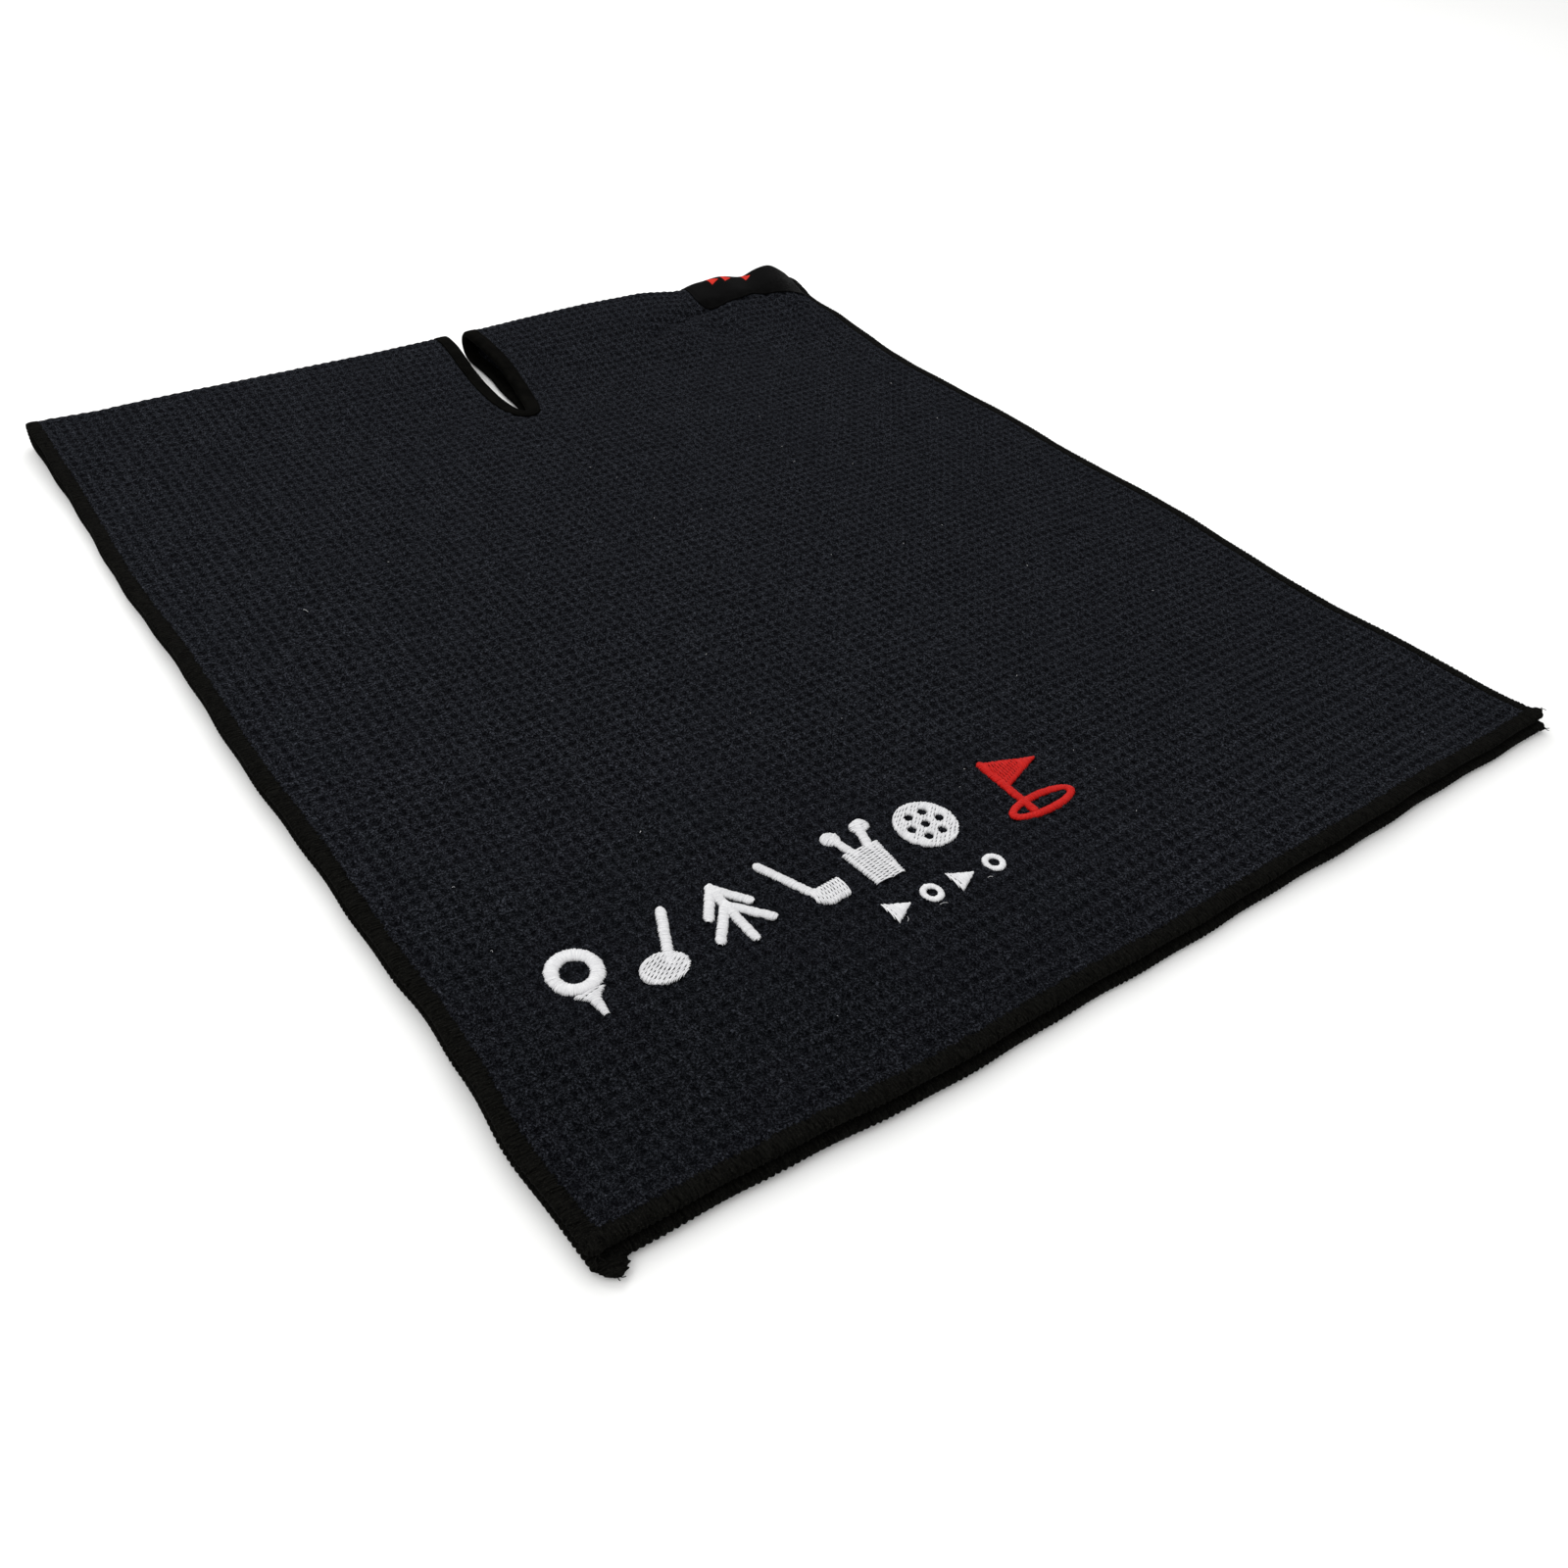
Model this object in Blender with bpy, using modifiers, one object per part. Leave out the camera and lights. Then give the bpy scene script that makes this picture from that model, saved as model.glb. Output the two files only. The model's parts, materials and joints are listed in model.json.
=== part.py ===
"""Golf towel of waffle microfibre, folded once across its length and lying on a flat surface.

Frame: metres, +Z up. X runs along the hems, Y from the two hems towards the fold. The origin is the
centre of the bottom of the whole object. The lower leaf lies on z = 0 and the upper leaf opens about
the fold, an axis along X, so every piece of the upper leaf hangs under the empty "fold_axis".
"""

import math

import bmesh
import bpy

MM = 0.001

# Driving dimensions.
TOWEL_WIDTH = 400 * MM
FLAT_LENGTH = 918 * MM
CLOTH_THICKNESS = 2.8 * MM
LEAF_GAP = 1.0 * MM  # between the lower and the upper leaf
HEM_STEP = 2.0 * MM  # how far the lower hem shows past the upper one
FOLD_HEIGHT = 13.0 * MM  # over the soft roll at the fold
RAMP_LENGTH = 70 * MM  # stretch over which the upper leaf rises to the fold
EDGE_WIDTH = 5.8 * MM  # overlocked edging
BINDING_WIDTH = 6.5 * MM  # tape round the slit
SLIT_X = -8 * MM  # the slit's middle, a little left of the towel's
SLIT_LENGTH = 70 * MM  # on each leaf, measured from the fold axis
SLIT_HALF_WIDTH = 6.2 * MM  # at the widest place
SLIT_HALF_WIDTH_AT_FOLD = 4.6 * MM
SLIT_WIDEST = 42 * MM  # from the slit's closed end to the widest place
LABEL_WIDTH = 66 * MM
LABEL_REACH = 12 * MM  # flat part of the label on each leaf
LABEL_THICKNESS = 0.5 * MM
TAIL_REACH = 6.0 * MM  # how far the thread chains stand out past the hems
TAIL_RADIUS = 0.7 * MM
THREAD_HEIGHT = 0.8 * MM  # embroidery above the cloth
BACKING_THICKNESS = 0.25 * MM
GAP = 0.3 * MM  # clearance between pieces that touch

# Sizes that follow from them.
STACK_HEIGHT = 2 * CLOTH_THICKNESS + LEAF_GAP
FOLD_Z = FOLD_HEIGHT / 2
ROLL_RADIUS = FOLD_Z
ROLL_ARC = math.pi * (ROLL_RADIUS - CLOTH_THICKNESS / 2)
LOWER_LENGTH = (FLAT_LENGTH - ROLL_ARC + HEM_STEP) / 2
LABEL_RADIUS = (FOLD_HEIGHT + GAP + LABEL_THICKNESS) / 2
LEFT = -TOWEL_WIDTH / 2
RIGHT = TOWEL_WIDTH / 2
HEM_Y = (TAIL_REACH - LOWER_LENGTH - LABEL_RADIUS) / 2
FOLD_Y = HEM_Y + LOWER_LENGTH
CLOTH_LEFT = LEFT + EDGE_WIDTH + GAP
CLOTH_RIGHT = RIGHT - EDGE_WIDTH - GAP
LABEL_RIGHT = CLOTH_RIGHT
LABEL_LEFT = LABEL_RIGHT - LABEL_WIDTH
RECESS = LABEL_THICKNESS + GAP  # pocket in the lower leaf that takes the label
UPPER_BOTTOM = CLOTH_THICKNESS + LEAF_GAP
ROLL_CLEARANCE = 0.1 * MM  # keeps the roll just off the surface that the leaf rests on

# Embroidery: a row of white golf pictures, a red flag and a small white row in front of them.
PICTURE_PITCH = 24.6 * MM
PICTURE_X = LEFT + 29 * MM
PICTURE_Y = HEM_Y + 60 * MM
FLAG_X = LEFT + 188 * MM
FLAG_Y = HEM_Y + 56 * MM
FLAG_WIDTH = 28.5 * MM
FLAG_HEIGHT = 30.4 * MM
SMALL_X = LEFT + 126 * MM
SMALL_Y = HEM_Y + 44 * MM
SMALL_PITCH = 12.6 * MM
STROKE = 4.2 * MM
THIN_STROKE = 3.2 * MM
BACKING_MARGIN = 6 * MM

# Print on the label.
PENNANT_OFFSETS = (15 * MM, 23 * MM, 37 * MM)  # from the label's left end
PENNANT_WIDTH = 5.5 * MM
PENNANT_HEIGHT = 7.0 * MM
PENNANT_INSET = 1.5 * MM  # from the fold axis
PRINT_THICKNESS = 0.2 * MM

RAMP_STEPS = 14
ARC_STEPS = 14
DRAW_IN_STEPS = 5
TAIL_STEPS = 5
ROUND_STEPS = 28
TALL = 60 * MM  # height of the cutters

COLOURS = {
    "cloth": (0.012, 0.014, 0.019, 1.0),
    "edging": (0.005, 0.005, 0.006, 1.0),
    "binding": (0.004, 0.004, 0.005, 1.0),
    "label": (0.006, 0.006, 0.007, 1.0),
    "print_red": (0.48, 0.022, 0.018, 1.0),
    "thread_white": (0.84, 0.84, 0.83, 1.0),
    "thread_red": (0.56, 0.020, 0.016, 1.0),
    "backing": (0.03, 0.03, 0.035, 1.0),
}
ROUGHNESS = {"label": 0.38, "binding": 0.55, "thread_white": 0.45, "thread_red": 0.45}


# ---------------------------------------------------------------- scene and helpers


def empty_scene():
    """Removes what the startup file holds."""
    for obj in list(bpy.data.objects):
        bpy.data.objects.remove(obj)


def new_collection(name):
    collection = bpy.data.collections.new(name)
    bpy.context.scene.collection.children.link(collection)
    return collection


def new_material(name):
    """A Principled material with the slot's colour."""
    material = bpy.data.materials.new(name)
    material.use_nodes = True
    shader = material.node_tree.nodes["Principled BSDF"]
    shader.inputs["Base Color"].default_value = COLOURS[name]
    shader.inputs["Roughness"].default_value = ROUGHNESS.get(name, 0.85)
    shader.inputs["Metallic"].default_value = 0.0
    material.diffuse_color = COLOURS[name]
    return material


def outline_object(name, outlines, depth):
    """A flat outline, or one with holes, given thickness about its own plane. Returns a curve object."""
    curve = bpy.data.curves.new(name, "CURVE")
    curve.dimensions = "2D"
    curve.fill_mode = "BOTH"
    curve.extrude = depth / 2
    for outline in outlines:
        spline = curve.splines.new("POLY")
        spline.points.add(len(outline) - 1)
        for point, (u, v) in zip(spline.points, outline):
            point.co = (u, v, 0.0, 1.0)
        spline.use_cyclic_u = True
    obj = bpy.data.objects.new(name, curve)
    PARTS.objects.link(obj)
    return obj


def as_mesh(obj):
    """The same object as a mesh, with the curve's caps welded to its sides."""
    bpy.context.view_layer.update()
    evaluated = obj.evaluated_get(bpy.context.evaluated_depsgraph_get())
    mesh = bpy.data.meshes.new_from_object(evaluated)
    weld(mesh)
    name = obj.name
    solid = bpy.data.objects.new(name + "_mesh", mesh)
    solid.matrix_world = obj.matrix_world
    PARTS.objects.link(solid)
    bpy.data.objects.remove(obj)
    solid.name = name
    return solid


def weld(mesh):
    """Joins the points that lie on each other."""
    working = bmesh.new()
    working.from_mesh(mesh)
    bmesh.ops.remove_doubles(working, verts=working.verts, dist=0.00001)
    bmesh.ops.recalc_face_normals(working, faces=working.faces)
    working.to_mesh(mesh)
    working.free()


def level_prism(name, outlines, bottom, top):
    """An outline in X and Y that stands between two heights."""
    obj = outline_object(name, outlines, top - bottom)
    obj.location = (0.0, 0.0, (bottom + top) / 2)
    return as_mesh(obj)


def cross_strip(name, outline, x_from, x_to):
    """An outline in Y and Z that runs along X from one place to the other."""
    obj = outline_object(name, [outline], x_to - x_from)
    obj.rotation_euler = (math.pi / 2, 0.0, math.pi / 2)
    obj.location = ((x_from + x_to) / 2, 0.0, 0.0)
    return as_mesh(obj)


def box_outline(x_from, x_to, y_from, y_to):
    return [(x_from, y_from), (x_to, y_from), (x_to, y_to), (x_from, y_to)]


def as_cutter(obj):
    """Moves a solid to the cutters, where it isn't part of the towel."""
    PARTS.objects.unlink(obj)
    CUTTERS.objects.link(obj)
    obj.hide_render = True
    obj.display_type = "WIRE"
    return obj


def boolean(obj, other, operation):
    modifier = obj.modifiers.new(operation.title(), "BOOLEAN")
    modifier.operation = operation
    modifier.solver = "EXACT"
    modifier.object = other
    return obj


def soften(obj, width, segments=2):
    """Rounds an edging's long corners."""
    modifier = obj.modifiers.new("Soft edges", "BEVEL")
    modifier.width = width
    modifier.segments = segments
    modifier.limit_method = "ANGLE"
    modifier.angle_limit = math.radians(50)
    return obj


def finish(obj, material, parent):
    """Gives a piece its material, and its place under the empty that moves it."""
    obj.data.materials.clear()
    obj.data.materials.append(MATERIALS[material])
    obj.data.shade_smooth()
    obj.data.set_sharp_from_angle(angle=math.radians(40))
    world = obj.matrix_world.copy()
    obj.parent = parent
    obj.location = world.translation - parent.location
    return obj


def new_empty(name, location):
    obj = bpy.data.objects.new(name, None)
    obj.location = location
    PARTS.objects.link(obj)
    return obj


# ---------------------------------------------------------------- outlines


def arc(centre, radius, start, end, steps=ARC_STEPS):
    """Points on a circle's arc. The angles are in degrees."""
    points = []
    for i in range(steps + 1):
        angle = math.radians(start + (end - start) * i / steps)
        points.append((centre[0] + radius * math.cos(angle), centre[1] + radius * math.sin(angle)))
    return points


def rise(y):
    """How far the upper leaf has risen at y on its way up to the fold."""
    share = (y - (FOLD_Y - RAMP_LENGTH)) / RAMP_LENGTH
    share = min(1.0, max(0.0, share))
    return (FOLD_HEIGHT - STACK_HEIGHT) * (1 - math.cos(math.pi * share)) / 2


def ramp_places(y_from, y_to):
    """The places along Y where a piece on the upper leaf has a line of points."""
    ramp = [FOLD_Y - RAMP_LENGTH * (1 - i / RAMP_STEPS) for i in range(RAMP_STEPS)]
    return [y_from] + [y for y in ramp if y_from < y < y_to] + [y_to]


def upper_profile(y_from, y_to, bottom, top):
    """Outline in Y and Z of a strip that lies between two heights over the upper leaf's ramp."""
    places = ramp_places(y_from, y_to)
    below = [(y, bottom + rise(y)) for y in places]
    above = [(y, top + rise(y)) for y in reversed(places)]
    return below + above


def half_ring(centre_z, outer, inner):
    """Outline in Y and Z of a half ring that opens towards the hems."""
    centre = (FOLD_Y, centre_z)
    return arc(centre, outer, -90, 90) + arc(centre, inner, 90, -90)


def slit_side(margin):
    """The right side of the slit, from its closed end to the fold, moved outwards by a margin.

    It is half an ellipse up to the widest place, then a parabola that draws in to the fold.
    """
    end_y = FOLD_Y - SLIT_LENGTH
    wide_y = end_y + SLIT_WIDEST
    draw_in = (SLIT_HALF_WIDTH - SLIT_HALF_WIDTH_AT_FOLD) / (FOLD_Y - wide_y) ** 2
    points = []
    for i in range(ARC_STEPS + 1):
        angle = math.pi / 2 * i / ARC_STEPS
        across = SLIT_WIDEST * math.sin(angle)
        along = -SLIT_HALF_WIDTH * math.cos(angle)
        size = math.hypot(across, along)
        x = SLIT_HALF_WIDTH * math.sin(angle) + margin * across / size
        y = wide_y - SLIT_WIDEST * math.cos(angle) + margin * along / size
        points.append((x, y))
    for i in range(1, DRAW_IN_STEPS + 1):
        step = (FOLD_Y - wide_y) * i / DRAW_IN_STEPS
        points.append((SLIT_HALF_WIDTH + margin - draw_in * step**2, wide_y + step))
    points.append((points[-1][0], FOLD_Y + RAMP_LENGTH))
    return points


def slit_outline(margin):
    """The whole slit on one leaf, run on past the fold."""
    right = [(SLIT_X + x, y) for x, y in slit_side(margin)]
    left = [(2 * SLIT_X - x, y) for x, y in reversed(right)]
    return left[:-1] + right


# ---------------------------------------------------------------- cloth


def make_lower_leaf():
    """Flat leaf with the slit's notch, and a shallow pocket underneath for the label."""
    leaf = level_prism(
        "lower_leaf",
        [box_outline(CLOTH_LEFT, CLOTH_RIGHT, HEM_Y + EDGE_WIDTH + GAP, FOLD_Y - GAP)],
        0.0,
        CLOTH_THICKNESS,
    )
    boolean(leaf, slit_cutter, "DIFFERENCE")
    pocket = level_prism(
        "label_pocket_cutter",
        [box_outline(LABEL_LEFT - GAP, RIGHT, FOLD_Y - LABEL_REACH - GAP, FOLD_Y + LABEL_REACH)],
        -RECESS,
        RECESS,
    )
    boolean(leaf, as_cutter(pocket), "DIFFERENCE")
    return finish(leaf, "cloth", towel_frame)


def make_upper_leaf():
    """Leaf that lies on the lower one and rises to the fold."""
    outline = upper_profile(
        HEM_Y + HEM_STEP + EDGE_WIDTH + GAP,
        FOLD_Y - GAP,
        UPPER_BOTTOM,
        STACK_HEIGHT,
    )
    leaf = cross_strip("upper_leaf", outline, CLOTH_LEFT, CLOTH_RIGHT)
    boolean(leaf, slit_cutter, "DIFFERENCE")
    return finish(leaf, "cloth", fold_axis)


def make_fold_rolls():
    """The cloth's soft roll, in three lengths: left of the slit, right of it, and under the label."""
    slit_reach = SLIT_HALF_WIDTH_AT_FOLD + BINDING_WIDTH + GAP
    outer = ROLL_RADIUS - ROLL_CLEARANCE
    plain = half_ring(FOLD_Z, outer, ROLL_RADIUS - CLOTH_THICKNESS)
    under_label = half_ring(LABEL_RADIUS, LABEL_RADIUS - RECESS, LABEL_RADIUS - CLOTH_THICKNESS)
    lengths = (
        ("fold_roll_left", plain, CLOTH_LEFT, SLIT_X - slit_reach),
        ("fold_roll_right", plain, SLIT_X + slit_reach, LABEL_LEFT - GAP),
        ("fold_roll_under_label", under_label, LABEL_LEFT, LABEL_RIGHT),
    )
    for name, outline, x_from, x_to in lengths:
        finish(cross_strip(name, outline, x_from, x_to), "cloth", towel_frame)


# ---------------------------------------------------------------- edging


def make_side_edging(side, x_from):
    """Overlocked edging down one side: lower leaf, upper leaf and round the fold."""
    x_to = x_from + EDGE_WIDTH
    lower = cross_strip(
        f"lower_edging_{side}",
        box_outline(HEM_Y, FOLD_Y - GAP, 0.0, CLOTH_THICKNESS),
        x_from,
        x_to,
    )
    finish(soften(lower, 0.9 * MM), "edging", towel_frame)
    upper = cross_strip(
        f"upper_edging_{side}",
        upper_profile(HEM_Y + HEM_STEP, FOLD_Y - GAP, UPPER_BOTTOM, STACK_HEIGHT),
        x_from,
        x_to,
    )
    finish(soften(upper, 0.9 * MM), "edging", fold_axis)
    outer = ROLL_RADIUS - ROLL_CLEARANCE
    outline = half_ring(FOLD_Z, outer, ROLL_RADIUS - CLOTH_THICKNESS)
    turn = cross_strip(f"fold_edging_{side}", outline, x_from, x_to)
    finish(turn, "edging", towel_frame)


def make_hem_edging(name, y_from, bottom, parent):
    """Overlocked edging along one hem, between the side edgings."""
    outline = box_outline(y_from, y_from + EDGE_WIDTH, bottom, bottom + CLOTH_THICKNESS)
    hem = cross_strip(name, outline, CLOTH_LEFT, CLOTH_RIGHT)
    finish(soften(hem, 0.9 * MM), "edging", parent)


def make_thread_tail(name, x, y, z, lean, parent):
    """The end of the overlock's thread chain, standing out of a corner."""
    curve = bpy.data.curves.new(name, "CURVE")
    curve.dimensions = "3D"
    curve.bevel_depth = TAIL_RADIUS
    curve.bevel_resolution = 2
    curve.use_fill_caps = True
    spline = curve.splines.new("POLY")
    spline.points.add(TAIL_STEPS)
    reach = TAIL_REACH - TAIL_RADIUS - GAP
    for i, point in enumerate(spline.points):
        share = i / TAIL_STEPS
        point.co = (lean * share**2, -reach * share, 0.0, 1.0)
    obj = bpy.data.objects.new(name, curve)
    PARTS.objects.link(obj)
    obj.location = (x, y - GAP, z)
    finish(as_mesh(obj), "edging", parent)


def make_thread_tails():
    """One chain end at each corner of the two hems."""
    inset = 2.0 * MM
    lean = 3.0 * MM
    for side, x, way in (("left", LEFT + inset, -1), ("right", RIGHT - inset, 1)):
        middle = CLOTH_THICKNESS / 2
        make_thread_tail(f"lower_thread_tail_{side}", x, HEM_Y, middle, way * lean, towel_frame)
        make_thread_tail(
            f"upper_thread_tail_{side}",
            x,
            HEM_Y + HEM_STEP,
            UPPER_BOTTOM + middle,
            way * lean,
            fold_axis,
        )


# ---------------------------------------------------------------- slit binding


def make_slit_binding():
    """Tape round the slit: a U on each leaf, and one turn over the fold at each lip."""
    ring_cutter = as_cutter(
        level_prism("binding_outer_cutter", [slit_outline(BINDING_WIDTH)], -TALL / 2, TALL / 2)
    )
    hole_cutter = as_cutter(
        level_prism("binding_inner_cutter", [slit_outline(0.0)], -TALL / 2, TALL / 2)
    )
    x_from = SLIT_X - SLIT_HALF_WIDTH - 2 * BINDING_WIDTH
    x_to = SLIT_X + SLIT_HALF_WIDTH + 2 * BINDING_WIDTH
    y_from = FOLD_Y - SLIT_LENGTH - 2 * BINDING_WIDTH
    strips = (
        ("lower", box_outline(y_from, FOLD_Y - GAP, 0.0, CLOTH_THICKNESS), towel_frame),
        ("upper", upper_profile(y_from, FOLD_Y - GAP, UPPER_BOTTOM, STACK_HEIGHT), fold_axis),
    )
    for leaf, outline, parent in strips:
        tape = cross_strip(f"slit_binding_{leaf}", outline, x_from, x_to)
        boolean(tape, ring_cutter, "INTERSECT")
        boolean(tape, hole_cutter, "DIFFERENCE")
        finish(tape, "binding", parent)
    lip = half_ring(FOLD_Z, ROLL_RADIUS - ROLL_CLEARANCE, ROLL_RADIUS - CLOTH_THICKNESS)
    near = SLIT_HALF_WIDTH_AT_FOLD
    far = near + BINDING_WIDTH
    for side, x_low, x_high in (("left", -far, -near), ("right", near, far)):
        turn = cross_strip(f"slit_binding_fold_{side}", lip, SLIT_X + x_low, SLIT_X + x_high)
        finish(turn, "binding", towel_frame)


# ---------------------------------------------------------------- label


def make_label():
    """Satin patch folded over the cloth's fold beside the right edging."""
    lower = level_prism(
        "label_lower",
        [box_outline(LABEL_LEFT, LABEL_RIGHT, FOLD_Y - LABEL_REACH, FOLD_Y - GAP)],
        0.0,
        LABEL_THICKNESS,
    )
    finish(lower, "label", towel_frame)
    turn = cross_strip(
        "label_fold",
        half_ring(LABEL_RADIUS, LABEL_RADIUS, LABEL_RADIUS - LABEL_THICKNESS),
        LABEL_LEFT,
        LABEL_RIGHT,
    )
    finish(turn, "label", towel_frame)
    bottom = STACK_HEIGHT + GAP
    upper = cross_strip(
        "label_upper",
        upper_profile(FOLD_Y - LABEL_REACH, FOLD_Y - GAP, bottom, bottom + LABEL_THICKNESS),
        LABEL_LEFT,
        LABEL_RIGHT,
    )
    finish(upper, "label", fold_axis)


def make_label_print():
    """Three small red pennants printed on the label, close to the fold."""
    bottom = FOLD_HEIGHT + GAP + LABEL_THICKNESS + GAP
    top = bottom + PRINT_THICKNESS
    y_to = FOLD_Y - PENNANT_INSET
    y_from = y_to - PENNANT_HEIGHT
    for i, offset in enumerate(PENNANT_OFFSETS):
        x = LABEL_LEFT + offset
        outline = [(x, y_from), (x + PENNANT_WIDTH, (y_from + y_to) / 2), (x, y_to)]
        pennant = level_prism(f"label_print_{i + 1}", [outline], bottom, top)
        finish(pennant, "print_red", fold_axis)


# ---------------------------------------------------------------- embroidery


def capsule(start, end, width):
    """Outline of a straight satin stroke with round ends."""
    angle = math.degrees(math.atan2(end[1] - start[1], end[0] - start[0]))
    half = ROUND_STEPS // 4
    first = arc(start, width / 2, angle + 90, angle + 270, half)
    second = arc(end, width / 2, angle - 90, angle + 90, half)
    return [first + second]


def oval_ring(centre, radius_x, radius_y, width):
    """Outlines of an oval line of one width."""
    rings = []
    for inset in (0.0, width):
        rings.append(
            [
                (centre[0] + (radius_x - inset) * u, centre[1] + (radius_y - inset) * v)
                for u, v in arc((0.0, 0.0), 1.0, 0, 360, ROUND_STEPS)[:-1]
            ]
        )
    return rings


def oval(centre, radius_x, radius_y):
    return oval_ring(centre, radius_x, radius_y, 0.0)[:1]


def ball_on_tee():
    """A ball's round line on a tapered tee."""
    tee = [(5.5, 9.4), (15.5, 9.4), (12.2, 6.0), (11.4, 0.0), (9.6, 0.0), (8.8, 6.0)]
    return [oval_ring((10.5, 17.5), 8.5, 8.5, STROKE / MM), [tee]]


def driver():
    """A club with a big round head."""
    shaft = capsule((18.0, 24.2), (10.0, 7.0), THIN_STROKE / MM)
    return [shaft, oval((7.6, 5.6), 7.6, 5.6)]


def pine_tree():
    """A tree of two roofs on one trunk."""
    width = THIN_STROKE / MM
    shapes = [capsule((10.5, 24.0), (10.5, 1.6), width)]
    for tip, foot, reach in ((24.2, 14.5, 7.0), (16.5, 5.5, 9.0)):
        shapes.append(capsule((10.5, tip), (10.5 - reach, foot), width))
        shapes.append(capsule((10.5, tip), (10.5 + reach, foot), width))
    return shapes


def iron():
    """A club with a blade for a head."""
    shaft = capsule((3.0, 24.2), (10.5, 6.0), THIN_STROKE / MM)
    blade = [(9.0, 8.8), (12.6, 8.0), (20.8, 8.6), (20.2, 0.8), (12.5, 0.0), (9.0, 2.6)]
    return [shaft, [blade]]


def golf_bag():
    """A bag with two clubs standing out of it."""
    body = [(4.5, 0.0), (15.5, 0.0), (17.0, 15.0), (3.0, 15.0)]
    width = THIN_STROKE / MM
    shapes = [[body], capsule((7.0, 14.0), (5.0, 22.5), width), capsule((13.0, 14.0), (15.5, 23.0), width)]
    return shapes + [oval((4.6, 23.0), 3.4, 2.9), oval((16.2, 23.2), 3.6, 2.8)]


def dimpled_ball():
    """A filled ball with round dimples left open."""
    outlines = oval((10.5, 13.0), 10.5, 10.5)
    outlines += oval((10.5, 13.0), 1.5, 1.5)
    for u, v in arc((10.5, 13.0), 5.6, 0, 300, 5):
        outlines += oval((u, v), 1.5, 1.5)
    return [outlines]


def pin_flag():
    """A flag on its pole, standing in an oval green."""
    pole = capsule((9.0, 28.8), (9.0, 4.0), THIN_STROKE / MM)
    pennant = [(8.6, 30.4), (28.5, 23.0), (8.6, 15.6)]
    return [pole, [pennant], oval_ring((14.0, 5.0), 14.0, 5.0, 2.8)]


def small_pennant():
    return [[[(1.0, 0.8), (9.4, 5.0), (1.0, 9.2)]]]


def small_ball():
    return [oval((5.0, 5.0), 3.6, 3.6)]


def make_picture(name, shapes, x, y, material):
    """One embroidered picture: its satin shapes, in millimetres, joined into one piece."""
    bottom = STACK_HEIGHT + GAP
    top = bottom + THREAD_HEIGHT
    solids = []
    for i, outlines in enumerate(shapes):
        placed = [[(x + u * MM, y + v * MM) for u, v in outline] for outline in outlines]
        label = name if i == 0 else f"{name}_cutter_{i}"
        solids.append(level_prism(label, placed, bottom, top))
    for other in solids[1:]:
        boolean(solids[0], as_cutter(other), "UNION")
    return finish(solids[0], material, fold_axis)


def make_embroidery():
    """The white row, the red flag and the small white row."""
    row = (ball_on_tee, driver, pine_tree, iron, golf_bag, dimpled_ball)
    for i, picture in enumerate(row):
        name = f"embroidery_{picture.__name__}"
        make_picture(name, picture(), PICTURE_X + i * PICTURE_PITCH, PICTURE_Y, "thread_white")
    make_picture("embroidery_pin_flag", pin_flag(), FLAG_X, FLAG_Y, "thread_red")
    for i in range(4):
        picture = (small_pennant, small_ball)[i % 2]
        name = f"embroidery_{picture.__name__}_{i // 2 + 1}"
        make_picture(name, picture(), SMALL_X + i * SMALL_PITCH, SMALL_Y, "thread_white")


def make_backing():
    """Thin non-woven backing under the embroidery, on the hidden face of the upper leaf."""
    top = UPPER_BOTTOM - GAP
    outline = box_outline(
        PICTURE_X - BACKING_MARGIN,
        FLAG_X + FLAG_WIDTH + BACKING_MARGIN,
        SMALL_Y - BACKING_MARGIN,
        FLAG_Y + FLAG_HEIGHT + BACKING_MARGIN,
    )
    plate = level_prism("embroidery_backing", [outline], top - BACKING_THICKNESS, top)
    finish(plate, "backing", fold_axis)


# ---------------------------------------------------------------- the towel

empty_scene()
PARTS = new_collection("golf_towel")
CUTTERS = new_collection("cutters")
MATERIALS = {slot: new_material(slot) for slot in COLOURS}
towel_frame = new_empty("towel_frame", (0.0, 0.0, 0.0))
fold_axis = new_empty("fold_axis", (0.0, FOLD_Y, FOLD_Z))
slit_cutter = as_cutter(
    level_prism("slit_cutter", [slit_outline(BINDING_WIDTH + GAP)], -TALL / 2, TALL / 2)
)
make_lower_leaf()
make_upper_leaf()
make_fold_rolls()
make_side_edging("left", LEFT)
make_side_edging("right", RIGHT - EDGE_WIDTH)
make_hem_edging("lower_hem_edging", HEM_Y, 0.0, towel_frame)
make_hem_edging("upper_hem_edging", HEM_Y + HEM_STEP, UPPER_BOTTOM, fold_axis)
make_thread_tails()
make_slit_binding()
make_label()
make_label_print()
make_embroidery()
make_backing()
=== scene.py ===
"""Golf towel of waffle microfibre, folded once and lying on a pale floor.

Every piece is laid out in the towel's own flat coordinates and then placed by place(x, s, n): x runs across
the towel, s runs along the cloth from the lower hem, round the fold, to the upper hem, and n is the height
over the middle of the cloth, towards its outer face. Lengths are in metres.
"""

import json
import math

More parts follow.
